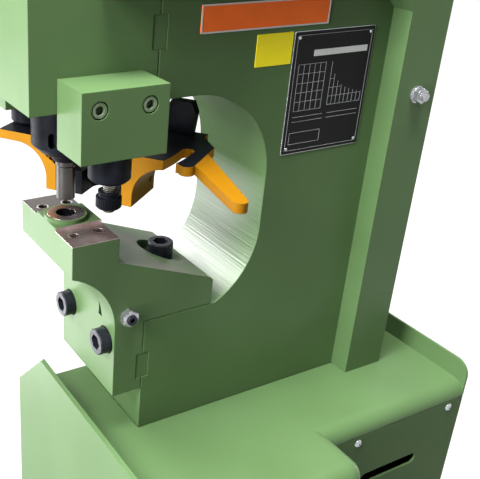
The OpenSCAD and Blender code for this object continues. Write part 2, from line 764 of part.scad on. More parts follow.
// Set screws through the legs into the insert
insert_screw_d = 6;
insert_screw_y = 9;
insert_screw_z = insert_low + insert_h - 6;
module at_insert_screws() for (side = [-1, 1]) translate([0, insert_screw_y, insert_screw_z])
    rotate([0, side * 90, 0]) children();
module insert_screws() color(black) at_die() swung() at_insert_screws()
    bar_z([0, 0, insert_slot / 2 + 8], insert_screw_d - thread_slack, leg_out - insert_slot / 2 - 9);

// Black insert between the legs that presses on the work, slotted for the punch
insert_front = 24;
module stripper_insert() color(black) at_die() swung() difference() {
    intersection() {
        bar_z([0, 0, insert_low], fork_gap, insert_h);
        span([-fork_gap, -insert_front, insert_low], [fork_gap, fork_gap, insert_low + insert_h]);
    }
    bar_z([0, 0, insert_low - 1], insert_slot, insert_h + 2);
    at_insert_screws() bar_z([0, 0, insert_slot / 2 + 7.5], insert_screw_d, fork_gap);
    span([-insert_slot / 2, -fork_gap, insert_low - 1], [insert_slot / 2, 0, insert_low + insert_h + 1]);
}

// Stop that meets the near bracket's rear face when the stripper is closed
module stripper_stop() color(black) at_die() swung()
    translate([col_x - stop_l - stop_in, plate_rear, plate_top]) rotate([90, 0, 0])
    linear_extrude(plate_rear - stop_y) polygon([[0, 0], [stop_l - 3, 0], [stop_l, stop_h - 12],
        [stop_l - 5, stop_h], [5, stop_h], [0, stop_h - 12]]);

// Lever: a tapered flat bar with a round end
module stripper_lever() color(yellow) at_die() swung() {
    root = [plate_near, -22];
    run_v = lever_end - root;
    ang = atan2(run_v[1], run_v[0]);
    l = norm(run_v);
    difference() {
        translate([root[0], root[1], plate_low]) rotate([0, 0, ang]) {
            linear_extrude(plate_t) polygon([[-20, -lever_w / 2 - 2], [l, -lever_w / 2], [l, lever_w / 2],
                [-20, lever_w / 2 + 9]]);
            translate([l, 0, 0]) cylinder(d = lever_w, h = plate_t);
        }
        span([0, -prong_front - 20, plate_low - 1], [plate_near, plate_rear, plate_top + 1]);
    }
}

// Sheet duct on the frame's near side: upright, splayed corner and a leg to the cylinder
module duct_outline(inset) {
    f = duct_front + inset;
    r = duct_rear - inset;
    low = duct_leg_low + inset;
    high = duct_leg_low + duct_leg_h - inset;
    knee = duct_knee_z + 0.41 * inset;
    polygon([[f, -table_drop], [f, knee], [f - (low - knee), low], [duct_leg_front + inset, low],
        [duct_leg_front + inset, high], [r, high], [r, -table_drop]]);
}

module hose_duct() color(green) at_die() difference() {
    translate([half_t, 0, 0]) rotate([90, 0, 90]) linear_extrude(duct_out) duct_outline(0);
    translate([half_t - 1, 0, 0]) rotate([90, 0, 90]) linear_extrude(duct_out + 1 - sheet) union() {
        duct_outline(sheet);
        translate([duct_front + sheet, -table_drop - 1]) square([duct_w - 2 * sheet, 10]);
    }
    bar_x([half_t, duct_front + duct_w / 2, duct_stud_z], 10 + screw_clear, duct_out + 1);
}

// Stud from the frame through the duct's face, with washer and nut
module duct_fixing() color(zinc) at_die() translate([half_t, duct_front + duct_w / 2, duct_stud_z])
    rotate([0, 90, 0]) {
    translate([0, 0, -20]) cylinder(d = 10 - thread_slack, h = 20 + duct_out + 15);
    translate([0, 0, duct_out]) cylinder(d = 20, h = 2);
    translate([0, 0, duct_out + 2]) cylinder(d = 16 / cos(30), h = 8, $fn = 6);
}

// Oil tube in a plane of constant X: along Y at the low height, up the duct, forward along its leg
module oil_tube(low_y, low_z, up_y, high_z, high_y) {
    bar_y([tube_x, low_y, low_z], tube_d, up_y - tube_r - low_y);
    bar_z([tube_x, up_y, low_z + tube_r], tube_d, high_z - low_z - 2 * tube_r);
    bar_y([tube_x, high_y, high_z], tube_d, up_y - tube_r - high_y);
    translate([tube_x, up_y - tube_r, low_z + tube_r]) rotate([90, 0, 90]) rotate([0, 0, -90])
        rotate_extrude(angle = 90) translate([tube_r, 0]) circle(d = tube_d, $fn = 32);
    translate([tube_x, up_y - tube_r, high_z - tube_r]) rotate([90, 0, 90])
        rotate_extrude(angle = 90) translate([tube_r, 0]) circle(d = tube_d, $fn = 32);
}

valve_back = valve_y + valve_w + punch_ahead;
module advance_tube() color(steel) at_die()
    oil_tube(valve_back, advance_low_z - die_z, advance_y, cap_port_z, port_y + fitting_w / 2);
module retract_tube() color(steel) at_die()
    oil_tube(valve_back, retract_low_z - die_z, retract_y, rod_port_z, port_y + fitting_w / 2);

// Elbow fittings on the cylinder's near side
module tube_fittings() color(zinc) at_die() for (z = [cap_port_z, rod_port_z]) difference() {
    translate([half_t, port_y - fitting_w / 2, z - fitting_w / 2])
        cube([duct_out - sheet - 1, fitting_w, fitting_w]);
    bar_x([half_t - 1, port_y, z], port_d, tube_x - half_t + 1);
    bar_y([tube_x, port_y, z], port_d, fitting_w);
}

// Quarter-round sheet edge along Y or X; the sheet leaves the table's top at its crown
module quarter(l, r) difference() {
    intersection() {
        cylinder(r = r, h = l);
        translate([0, 0, -1]) cube([r + 1, r + 1, l + 2]);
    }
    translate([0, 0, -1]) cylinder(r = r - sheet, h = l + 2);
}

tube_hole_d = tube_d + 8;

// Table: flat sheet with rolled near edges, a wing at the front, front and rear upstands
module table_top() color(green) difference() {
    flat_near = cab_near - bend_r;
    wing_near = flat_near + wing_out;
    wing_rear = cab_y0 + wing_l - bend_r;
    front_flat = cab_y0 + sheet + bend_r + sheet;
    roll_z = table_z - bend_r;
    union() {
        span([-table_far, front_flat, table_z - sheet], [flat_near, cab_y1 - sheet, table_z]);
        span([flat_near - 1, front_flat, table_z - sheet], [wing_near, wing_rear, table_z]);
        // rear upstand with a rounded near corner
        span([-table_far, cab_y1 - sheet, table_z - sheet], [flat_near, cab_y1, table_z + upstand]);
        span([flat_near - bend_r, cab_y1 - sheet, roll_z], [cab_near, cab_y1, table_z + upstand - bend_r]);
        bar_y([flat_near, cab_y1 - sheet, table_z + upstand - bend_r], 2 * bend_r, sheet);
        span([-table_far, cab_y0 + sheet, table_z + bend_r],
            [wing_near, cab_y0 + 2 * sheet, table_z + upstand]);
        // concave bend up to the front upstand
        translate([-table_far, front_flat, table_z + bend_r]) rotate([0, 90, 0]) rotate([0, 0, 180])
            mirror([1, 0, 0]) quarter(wing_near + table_far, bend_r + sheet);
        // rolled near edge, wing's near edge and wing's rear edge
        translate([flat_near, cab_y1 - sheet, roll_z]) rotate([90, 0, 0])
            quarter(cab_y1 - sheet - wing_rear, bend_r);
        translate([wing_near, wing_rear, roll_z]) rotate([90, 0, 0])
            quarter(wing_rear - front_flat, bend_r);
        translate([flat_near, wing_rear, roll_z]) rotate([90, 0, 90])
            quarter(wing_near - flat_near, bend_r);
        translate([wing_near, wing_rear, roll_z]) intersection() {
            difference() {
                sphere(r = bend_r);
                sphere(r = bend_r - sheet);
            }
            cube(2 * bend_r);
        }
    }
    span([-half_t - 1, joint_y - punch_ahead - 1, table_z - 2 * bend_r],
        [half_t + 1, rear_y - punch_ahead + 1, table_z + 1]);
    for (y = [retract_y, advance_y])
        bar_z([tube_x, y - punch_ahead, table_z - 2 * sheet], tube_hole_d, 3 * sheet);
}

// Front panel: flat sheet with the far corner cut at 45 degrees and an ear under the wing
ear_z = 74;
module front_panel() color(green) {
    top = table_z + upstand;
    cut = cab_far - table_far + 2;
    translate([0, cab_y0 + sheet, 0]) rotate([90, 0, 0]) linear_extrude(sheet) polygon([[-cab_far, 0],
        [-cab_far, top - cut], [-cab_far + cut, top], [cab_near + wing_out, top],
        [cab_near + wing_out, top - ear_z], [cab_near, top - ear_z - wing_out], [cab_near, 0]]);
}

module rear_panel() color(green) difference() {
    cut = cab_far - table_far;
    translate([0, cab_y1, 0]) rotate([90, 0, 0]) linear_extrude(sheet) polygon([[-cab_far, 0],
        [-cab_far, table_z - sheet - cut], [-table_far, table_z - sheet],
        [cab_near - 2 * bend_r, table_z - sheet],
        [cab_near - 2 * bend_r, table_z - bend_r - 1], [cab_near, table_z - bend_r - 1], [cab_near, 0]]);
    translate([switch_x, cab_y1 + 1, switch_z]) rotate([90, 0, 0]) cylinder(d = switch_d + 2, h = sheet + 2);
    translate([gland_x, cab_y1 + 1, gland_z]) rotate([90, 0, 0]) cylinder(d = gland_d, h = sheet + 2);
}

// Places of the near panel's screws: two at the top and two at the bottom of each end
panel_screw_ys = [cab_y0 + 60, finger_y - 17.5, cab_y1 - 25];
module at_panel_screws() for (y = panel_screw_ys, z = [panel_screw_z, base_t + panel_foot])
    translate([cab_near, y, z]) rotate([0, 90, 0]) children();

module near_side_panel() color(green) difference() {
    span([cab_near - sheet, cab_y0 + sheet, 0], [cab_near, cab_y1 - sheet, table_z - bend_r - 1]);
    at_panel_screws() translate([0, 0, -2 * sheet]) cylinder(d = panel_screw_d + screw_clear, h = 3 * sheet);
    span([cab_near - 2 * sheet, finger_y + finger_h / 2, finger_z - finger_h / 2],
        [cab_near + sheet, finger_y + finger_l - finger_h / 2, finger_z + finger_h / 2]);
    for (y = [finger_y + finger_h / 2, finger_y + finger_l - finger_h / 2])
        bar_x([cab_near - 2 * sheet, y, finger_z], finger_h, 3 * sheet);
}

module panel_screws() color(zinc) at_panel_screws() button_screw(panel_screw_d, 12);

module far_side_panel() color(green) {
    cut = cab_far - table_far;
    t = sheet * sqrt(2);
    high = table_z - sheet;
    translate([0, cab_y1 - sheet, 0]) rotate([90, 0, 0]) linear_extrude(cab_depth - 2 * sheet)
        polygon([[-cab_far, 0], [-cab_far, high - cut], [-table_far, high], [-table_far + t, high],
            [-cab_far + sheet, high - cut - t + sheet], [-cab_far + sheet, 0]]);
}

module base_plate() color(black) difference() {
    span([-cab_far + sheet, cab_y0 + sheet, 0], [cab_near - sheet, cab_y1 - sheet, base_t]);
    for (x = [-0.5, 0.5], y = [-0.5, 0.5]) bar_z([x * anchor_x, y * anchor_y, -1], anchor_d, base_t + 2);
}

// Welded portals under the frame and the rails that take the near panel's screws
tube_wall = 6;
module support_frame() color(green) difference() {
    union() {
        for (y = [front_rail_y, rear_rail_y]) {
            span([-rail_far, y, frame_foot_z - rail_h], [rail_near, y + post_w, frame_foot_z]);
            span([-rail_far, y, base_t], [-rail_far + post_w, y + post_w, frame_foot_z - rail_h + 1]);
            span([rail_near - post_w, y, base_t], [rail_near, y + post_w, frame_foot_z - rail_h + 1]);
        }
        for (z = [panel_screw_z, base_t + panel_foot])
            span([rail_near - 14, cab_y0 + sheet, z - 10], [rail_near, cab_y1 - sheet, z + 10]);
        for (y = [front_rail_y, rear_rail_y])
            span([rail_near - 14, y, frame_foot_z - 1], [rail_near, y + post_w, panel_screw_z]);
    }
    for (y = [front_rail_y, rear_rail_y]) {
        span([-rail_far - 1, y + tube_wall, frame_foot_z - rail_h + tube_wall],
            [rail_near + 1, y + post_w - tube_wall, frame_foot_z - tube_wall]);
        for (x = [-rail_far, rail_near - post_w]) span([x + tube_wall, y + tube_wall, base_t - 1],
            [x + post_w - tube_wall, y + post_w - tube_wall, frame_foot_z - rail_h - tube_wall]);
    }
    at_frame_bolts() bar_z([0, 0, -rail_h - 1], frame_bolt_d + screw_clear, rail_h + 2);
    at_panel_screws() translate([0, 0, -sheet - 12]) cylinder(d = panel_screw_d, h = sheet + 12);
}

module frame_bolts() color(black) at_frame_bolts() cap_screw(frame_bolt_d, frame_bolt_l);

module oil_tank() color([0.30, 0.32, 0.33]) difference() {
    span([-tank_far, -tank_len / 2, base_t], [tank_near, tank_len / 2, lid_z]);
    span([-tank_far + sheet, -tank_len / 2 + sheet, base_t + sheet],
        [tank_near - sheet, tank_len / 2 - sheet, lid_z + 1]);
}

pump_d = 80;
module tank_lid() color([0.30, 0.32, 0.33]) difference() {
    span([-tank_far, -tank_len / 2, lid_z], [tank_near, tank_len / 2, lid_z + lid_t]);
    bar_z([pack_x, pack_y, lid_z - 1], shaft_d + 20, lid_t + 2);
}

module filler_breather() color(black) translate([pack_x - 35, tank_len / 2 - 35, bell_z]) {
    cylinder(d = 44, h = 12);
    translate([0, 0, 11]) cylinder(d = 36, h = 26);
    translate([0, 0, 36]) cylinder(d = 46, h = 18);
}

coupling_d = 46;
module bell_housing() color([0.55, 0.56, 0.57]) translate([pack_x, pack_y, bell_z]) difference() {
    union() {
        cylinder(d = motor_d - 20, h = 12);
        cylinder(d = coupling_d + 24, h = bell_h);
        translate([0, 0, bell_h - 12]) cylinder(d = motor_d - 10, h = 12);
    }
    translate([0, 0, -1]) cylinder(d = coupling_d + 8, h = bell_h + 2);
}

bearing_h = 16;
fins = 20;
module motor_housing() color([0.36, 0.40, 0.42]) translate([pack_x, pack_y, motor_z]) difference() {
    union() {
        cylinder(d = motor_d - 16, h = motor_l);
        cylinder(d = motor_d - 2, h = 12);
        for (a = [0 : 360 / fins : 359]) rotate([0, 0, a]) translate([motor_d / 2 - 12, -1.5, 20])
            cube([12, 3, motor_l - 70]);
        translate([0, 0, motor_l - 46]) cylinder(d = motor_d, h = 46);
        translate([-40, -motor_d / 2 - 22, 70]) cube([80, 36, 70]);
    }
    translate([0, 0, -1]) cylinder(d = shaft_d + 2 * run, h = motor_l - 40);
    translate([0, 0, bearing_h]) cylinder(d = rotor_d + 3, h = motor_l - 60 - 2 * bearing_h);
    translate([0, 0, motor_l - 42]) cylinder(d = motor_d - 6, h = 39);
    for (a = [0 : 30 : 359], r = [30, 50]) rotate([0, 0, a]) translate([r, 0, motor_l - 4])
        cylinder(d = 9, h = 6);
}

// Shaft with the rotor, the cooling fan at the top and the pump's shaft end below
rotor_d = 80;
fan_blades = 7;
module motor_rotor() color(steel) translate([pack_x, pack_y, 0]) {
    translate([0, 0, motor_z - bell_h / 2]) cylinder(d = shaft_d, h = bell_h / 2 + motor_l - 36);
    translate([0, 0, motor_z + bearing_h + 4]) cylinder(d = rotor_d, h = motor_l - 68 - 2 * bearing_h);
    translate([0, 0, motor_z + motor_l - 40]) cylinder(d = 44, h = 8);
    for (i = [0 : fan_blades - 1]) rotate([0, 0, 360 * i / fan_blades])
        translate([10, -1.5, motor_z + motor_l - 40]) cube([motor_d / 2 - 18, 3, 28]);
}

// Sleeve that joins the motor's shaft to the pump's
module shaft_coupling() color(zinc) translate([pack_x, pack_y, bell_z]) difference() {
    translate([0, 0, 14]) cylinder(d = coupling_d, h = bell_h - 28);
    translate([0, 0, bell_h / 2]) cylinder(d = shaft_d, h = bell_h);
    cylinder(d = pump_shaft_d, h = bell_h);
}

pump_shaft_d = shaft_d - 6;
module pump_shaft() color(steel) translate([pack_x, pack_y, lid_z - 40])
    cylinder(d = pump_shaft_d, h = 40 + lid_t + bell_h / 2);

module pump_body() color([0.50, 0.51, 0.52]) translate([pack_x, pack_y, lid_z - pump_l]) difference() {
    union() {
        cylinder(d = pump_d, h = pump_l - 8);
        translate([0, 0, pump_l - 9]) cylinder(d = pump_d + 30, h = 9);
    }
    translate([0, 0, pump_l - 42]) cylinder(d = pump_shaft_d + 2 * run, h = 60);
}

module valve_block() color(zinc) difference() {
    span([tube_x - valve_w / 2, valve_y, bell_z],
        [tube_x + valve_w / 2, valve_y + valve_w, bell_z + valve_h]);
    for (z = [retract_low_z, advance_low_z]) bar_y([tube_x, valve_y + valve_w - 20, z], port_d, 21);
}

module valve_solenoid() color(black) {
    span([tube_x - 24, valve_y + 10, bell_z + valve_h],
        [tube_x + 24, valve_y + valve_w - 10, bell_z + valve_h + 60]);
    bar_z([tube_x, valve_y + valve_w / 2, bell_z + valve_h + 59], 26, 16);
}

// Electrical box on the rear panel, with the mains switch turned from outside
switch_x = -cab_far + 70;
switch_z = 470;
switch_d = 26;
gland_x = switch_x + 35;
gland_z = switch_z - 60;
gland_d = 22;
box_depth = 80;
box_w = 115;
box_low = 90;
box_h = 180;
box_x = -cab_far + rail_room;
switch_shaft_d = 12;
switch_shaft_l = 50;
module control_box() color([0.60, 0.61, 0.60]) {
    difference() {
        span([box_x, cab_y1 - sheet - box_depth, switch_z - box_low],
            [box_x + box_w, cab_y1 - sheet, switch_z - box_low + box_h]);
        translate([switch_x, cab_y1, switch_z]) rotate([90, 0, 0])
            cylinder(d = switch_shaft_d + 2 * run, h = switch_shaft_l + 10);
    }
    translate([gland_x, cab_y1 + 18, gland_z]) rotate([90, 0, 0]) difference() {
        union() {
            translate([0, 0, 12]) cylinder(d = gland_d - 0.6, h = 12);
            cylinder(d = gland_d + 6, h = 18, $fn = 6);
        }
        translate([0, 0, -1]) cylinder(d = 10, h = 24);
    }
}

module main_switch() color([0.75, 0.10, 0.08]) translate([switch_x, cab_y1, switch_z]) {
    translate([0, gap, 0]) rotate([-90, 0, 0]) cylinder(d = 48, h = 10);
    span([-7, 5, -22], [7, 34, 22]);
    translate([0, gap + 1, 0]) rotate([90, 0, 0]) cylinder(d = switch_shaft_d, h = switch_shaft_l);
}

c_frame();
cylinder_block();
cylinder_key();
cylinder_cover();
cover_screws();
rod_guide();
rod_seal();
piston_rod();
piston_seal();
punch_nut();
punch();
die();
die_holder();
holder_key();
holder_front_screws();
holder_top_screw();
alignment_screws();
alignment_nuts();
near_bracket();
near_bracket_screws();
far_bracket();
far_bracket_screws();
near_column();
clamp_stud();
clamp_washer();
knurled_nut();
pivot_column();
pivot_nut();
stripper_fork();
stripper_insert();
insert_screws();
stripper_stop();
stripper_lever();
hose_duct();
duct_fixing();
advance_tube();
retract_tube();
tube_fittings();
table_top();
front_panel();
rear_panel();
near_side_panel();
far_side_panel();
panel_screws();
base_plate();
support_frame();
frame_bolts();
oil_tank();
tank_lid();
filler_breather();
bell_housing();
motor_housing();
motor_rotor();
shaft_coupling();
pump_shaft();
pump_body();
valve_block();
valve_solenoid();
control_box();
main_switch();
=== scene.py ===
"""Dresses the hydraulic hole punch: finishes for its solids, plates on its side, small marks and a stage."""

import math

import bpy
import numpy as np
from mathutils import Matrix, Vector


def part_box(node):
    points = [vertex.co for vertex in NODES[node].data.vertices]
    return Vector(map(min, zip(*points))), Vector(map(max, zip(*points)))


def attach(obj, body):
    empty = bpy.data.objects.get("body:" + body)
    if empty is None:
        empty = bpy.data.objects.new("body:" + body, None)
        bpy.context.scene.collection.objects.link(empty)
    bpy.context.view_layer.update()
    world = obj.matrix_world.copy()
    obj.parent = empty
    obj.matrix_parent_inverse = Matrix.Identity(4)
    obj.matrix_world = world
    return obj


bl_info = {
    "name": "Hydraulic Hole Punch",
    "version": (1, 0, 0),
    "blender": (4, 5, 0),
    "location": "View3D > Sidebar > Punch",
    "description": "Finishes, side plates and small marks of a C-frame hydraulic hole punch",
    "category": "Add Mesh",
}

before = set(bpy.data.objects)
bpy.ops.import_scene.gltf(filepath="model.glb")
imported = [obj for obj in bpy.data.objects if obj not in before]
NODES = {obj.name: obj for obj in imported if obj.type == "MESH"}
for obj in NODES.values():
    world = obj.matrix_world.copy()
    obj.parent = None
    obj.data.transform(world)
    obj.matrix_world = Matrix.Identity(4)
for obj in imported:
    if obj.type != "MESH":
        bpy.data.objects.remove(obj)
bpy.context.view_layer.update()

# Places taken from the solids, in metres
FRAME_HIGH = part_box("c_frame")[1]
DIE_LOW, DIE_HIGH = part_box("die")
HOLDER_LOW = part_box("die_holder")[0]
PUNCH_Y = (DIE_LOW.y + DIE_HIGH.y) / 2
DIE_Z = DIE_HIGH.z
SIDE_X = FRAME_HIGH.x

# Nodes by finish
ENAMEL_NODES = ("cylinder_block", "cylinder_key", "cylinder_cover", "holder_key", "near_bracket",
                "far_bracket")
SHEET_NODES = ("rear_panel", "near_side_panel", "far_side_panel", "support_frame")
TABLE_NODES = ("hose_duct", "table_top", "front_panel")
OXIDE_NODES = ("punch_nut", "near_column", "clamp_washer", "knurled_nut", "pivot_column", "pivot_nut",
               "stripper_insert", "insert_screws", "stripper_stop")
SCREW_NODES = ("cover_screws", "holder_front_screws", "holder_top_screw", "alignment_screws", "frame_bolts")
PAINTED_SCREW_NODES = ("near_bracket_screws", "far_bracket_screws")
STEEL_NODES = ("piston_rod", "advance_tube", "retract_tube", "motor_rotor", "pump_shaft")
ZINC_NODES = ("alignment_nuts", "duct_fixing", "tube_fittings", "panel_screws", "shaft_coupling")
TANK_NODES = ("base_plate", "oil_tank", "tank_lid")
CAST_NODES = ("bell_housing", "motor_housing", "pump_body", "valve_block")
SEAL_NODES = ("rod_seal", "piston_seal")
BLACK_PLASTIC_NODES = ("filler_breather", "valve_solenoid")


class PunchFinish(bpy.types.PropertyGroup):
    """Colours and roughness of the machine's finishes."""

    enamel: bpy.props.FloatVectorProperty(
        name="Enamel", description="Green machine enamel", subtype="COLOR", size=3, min=0, max=1,
        default=(0.066, 0.120, 0.045))
    enamel_worn: bpy.props.FloatVectorProperty(
        name="Worn enamel", description="Enamel where it is rubbed", subtype="COLOR", size=3, min=0, max=1,
        default=(0.078, 0.138, 0.055))
    enamel_rough: bpy.props.FloatProperty(
        name="Enamel roughness", description="Middle roughness of the green enamel", subtype="FACTOR",
        min=0, max=1, default=0.369)
    yellow: bpy.props.FloatVectorProperty(
        name="Yellow", description="Yellow enamel of the stripper", subtype="COLOR", size=3, min=0, max=1,
        default=(0.245, 0.107, 0.003))
    # black oxide kept darker than blackened steel is: partly painted shade, for the columns, nuts, stop and
    # insert that sit in shade under the head
    oxide: bpy.props.FloatVectorProperty(
        name="Black oxide", description="Blackened steel of screws and columns", subtype="COLOR", size=3,
        min=0, max=1, default=(0.0045, 0.005, 0.007))
    ground: bpy.props.FloatVectorProperty(
        name="Ground steel", description="Bare ground steel of the near pad", subtype="COLOR", size=3,
        min=0, max=1, default=(0.60, 0.50, 0.50))
    tool: bpy.props.FloatVectorProperty(
        name="Tool steel", description="Hardened steel of the punch", subtype="COLOR", size=3,
        min=0, max=1, default=(0.066, 0.062, 0.058))
    orange: bpy.props.FloatVectorProperty(
        name="Orange plate", description="Wide plate on the frame's side", subtype="COLOR", size=3,
        min=0, max=1, default=(1.0, 0.17, 0.018))
    label_yellow: bpy.props.FloatVectorProperty(
        name="Yellow plate", description="Small square plate", subtype="COLOR", size=3, min=0, max=1,
        default=(1.0, 0.86, 0.02))


class PunchPlates(bpy.types.PropertyGroup):
    """Sizes of the plates on the frame's near side."""

    plate_t: bpy.props.FloatProperty(
        name="Plate thickness", description="Thickness of the plates", unit="LENGTH", min=0.0003,
        default=0.0012)
    corner_r: bpy.props.FloatProperty(
        name="Corner radius", description="Corner radius of the plates", unit="LENGTH", min=0,
        default=0.002)
    line_w: bpy.props.FloatProperty(
        name="Line width", description="Width of the lines on the data plate", unit="LENGTH", min=0,
        default=0.00045)
    rivet_d: bpy.props.FloatProperty(
        name="Rivet diameter", description="Diameter of the data plate's rivets", unit="LENGTH", min=0,
        default=0.0042)


class PunchStage(bpy.types.PropertyGroup):
    """Camera and light."""

    camera_place: bpy.props.FloatVectorProperty(
        name="Camera place", description="Where the camera stands", subtype="TRANSLATION", size=3,
        default=(0.7049, -0.5843, 1.3163))
    camera_turn: bpy.props.FloatVectorProperty(
        name="Camera turn", description="How the camera is turned", subtype="EULER", size=3,
        default=(math.radians(64.602), math.radians(-1.98), math.radians(61.253)))
    focal: bpy.props.FloatProperty(
        name="Focal length", description="Focal length on a 36 mm sensor", min=10, default=59.985)
    high_power: bpy.props.FloatProperty(
        name="High power", description="Power of the high lamp in front", unit="POWER", min=0, default=150)
    top_power: bpy.props.FloatProperty(
        name="Top power", description="Power of the lamp overhead", unit="POWER", min=0, default=290)
    front_power: bpy.props.FloatProperty(
        name="Front power", description="Power of the level lamp in front", unit="POWER", min=0, default=165)
    right_power: bpy.props.FloatProperty(
        name="Right power", description="Power of the lamp at the right", unit="POWER", min=0, default=2)
    left_power: bpy.props.FloatProperty(
        name="Left power", description="Power of the lamp at the left", unit="POWER", min=0, default=46)
    low_power: bpy.props.FloatProperty(
        name="Low power", description="Power of the low lamp at the left", unit="POWER", min=0, default=13)
    rear_power: bpy.props.FloatProperty(
        name="Rear power", description="Power of the lamp behind", unit="POWER", min=0, default=40)
    ambient: bpy.props.FloatProperty(
        name="Ambient", description="Strength of the light from all round", min=0, default=0.04)


def settings():
    """The scene's three groups of settings."""
    scene = bpy.context.scene
    return scene.punch_finish, scene.punch_plates, scene.punch_stage


def shade(colour, share):
    """A colour at a share of its value."""
    return tuple(share * part for part in colour)


def mesh_piece(name, verts, faces, material, slot_name="frame_green", smooth=True):
    """A mesh object at the origin, riding on the machine's body, with its finish; the slot name is not used.
    """
    mesh = bpy.data.meshes.new(name)
    mesh.from_pydata(np.asarray(verts).reshape(-1, 3).tolist(), [], [list(face) for face in faces])
    mesh.polygons.foreach_set("use_smooth", np.full(len(mesh.polygons), smooth))
    mesh.update()
    piece = bpy.data.objects.new(name, mesh)
    bpy.context.scene.collection.objects.link(piece)
    piece.data.materials.append(material)
    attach(piece, "machine")


def grid_faces(rows, cols):
    """Quads between the rows of a grid, counted row by row; each row closes into a ring."""
    r, c = np.meshgrid(np.arange(rows - 1), np.arange(cols), indexing="ij")
    right = (c + 1) % cols
    quads = np.stack([r * cols + c, r * cols + right, (r + 1) * cols + right, (r + 1) * cols + c], -1)
    return quads.reshape(-1, 4).tolist()


def rounded_outline(width, height, radius, steps=6):
    """Rounded rectangle about zero: four quarter circles of the radius, joined by straight sides."""
    turn = np.linspace(0, math.pi / 2, steps)
    quarter = np.arange(4)[:, None] * math.pi / 2 + turn
    sign_x = np.array([1, -1, -1, 1])[:, None]
    sign_y = np.array([1, 1, -1, -1])[:, None]
    x = sign_x * (width / 2 - radius) + radius * np.cos(quarter)
    y = sign_y * (height / 2 - radius) + radius * np.sin(quarter)
    return np.stack([x.ravel(), y.ravel()], 1)


def side_slab(outline, centre_y, centre_z, base_x, thick, edge=0.25):
    """Slab on a face of constant X: the outline at the face and again below the edge, and drawn in by the
    edge at the top, with one flat face at each end. The edge is a share of the thickness."""
    mid = outline.mean(0)
    reach = np.abs(outline - mid).max(0)
    rows = []
    for level, inset in ((0.0, 0.0), (1.0 - edge, 0.0), (1.0, edge)):
        ring = mid + (outline - mid) * (1 - inset * thick / reach)
        rows.append(np.column_stack([np.full(len(ring), base_x + level * thick), centre_y + ring[:, 0],
                                     centre_z + ring[:, 1]]))
    count = len(outline)
    faces = grid_faces(len(rows), count)
    faces.append(list(range(count))[::-1])
    faces.append(list(range(2 * count, 3 * count)))
    return np.concatenate(rows), faces


def side_dome(centre_y, centre_z, base_x, radius, height, rows=6, cols=20, last=0.15):
    """Shallow dome on a face of constant X: its height goes with the cosine, and its ring's radius with the
    sine, of an angle from a right angle down to the last one, and its pole is one point."""
    lift = np.linspace(math.pi / 2, last, rows)[:, None]
    turn = np.linspace(0, 2 * math.pi, cols, endpoint=False)[None, :]
    ring = radius * np.sin(lift)
    points = np.stack([base_x + height * np.cos(lift) + 0 * turn, centre_y + ring * np.cos(turn),
                       centre_z + ring * np.sin(turn)], -1)
    verts = np.concatenate([points.reshape(-1, 3), [[base_x + height, centre_y, centre_z]]])
    faces = grid_faces(rows, cols)
    top, pole = (rows - 1) * cols, rows * cols
    faces += [[top + i, top + (i + 1) % cols, pole] for i in range(cols)]
    faces.append(list(range(cols))[::-1])
    return verts, faces


def join_shapes(shapes):
    """Vertices and faces of several shapes put one after another."""
    verts, faces, start = [], [], 0
    for shape_verts, shape_faces in shapes:
        verts.append(shape_verts)
        faces.extend([[i + start for i in face] for face in shape_faces])
        start += len(shape_verts)
    return np.concatenate(verts), faces


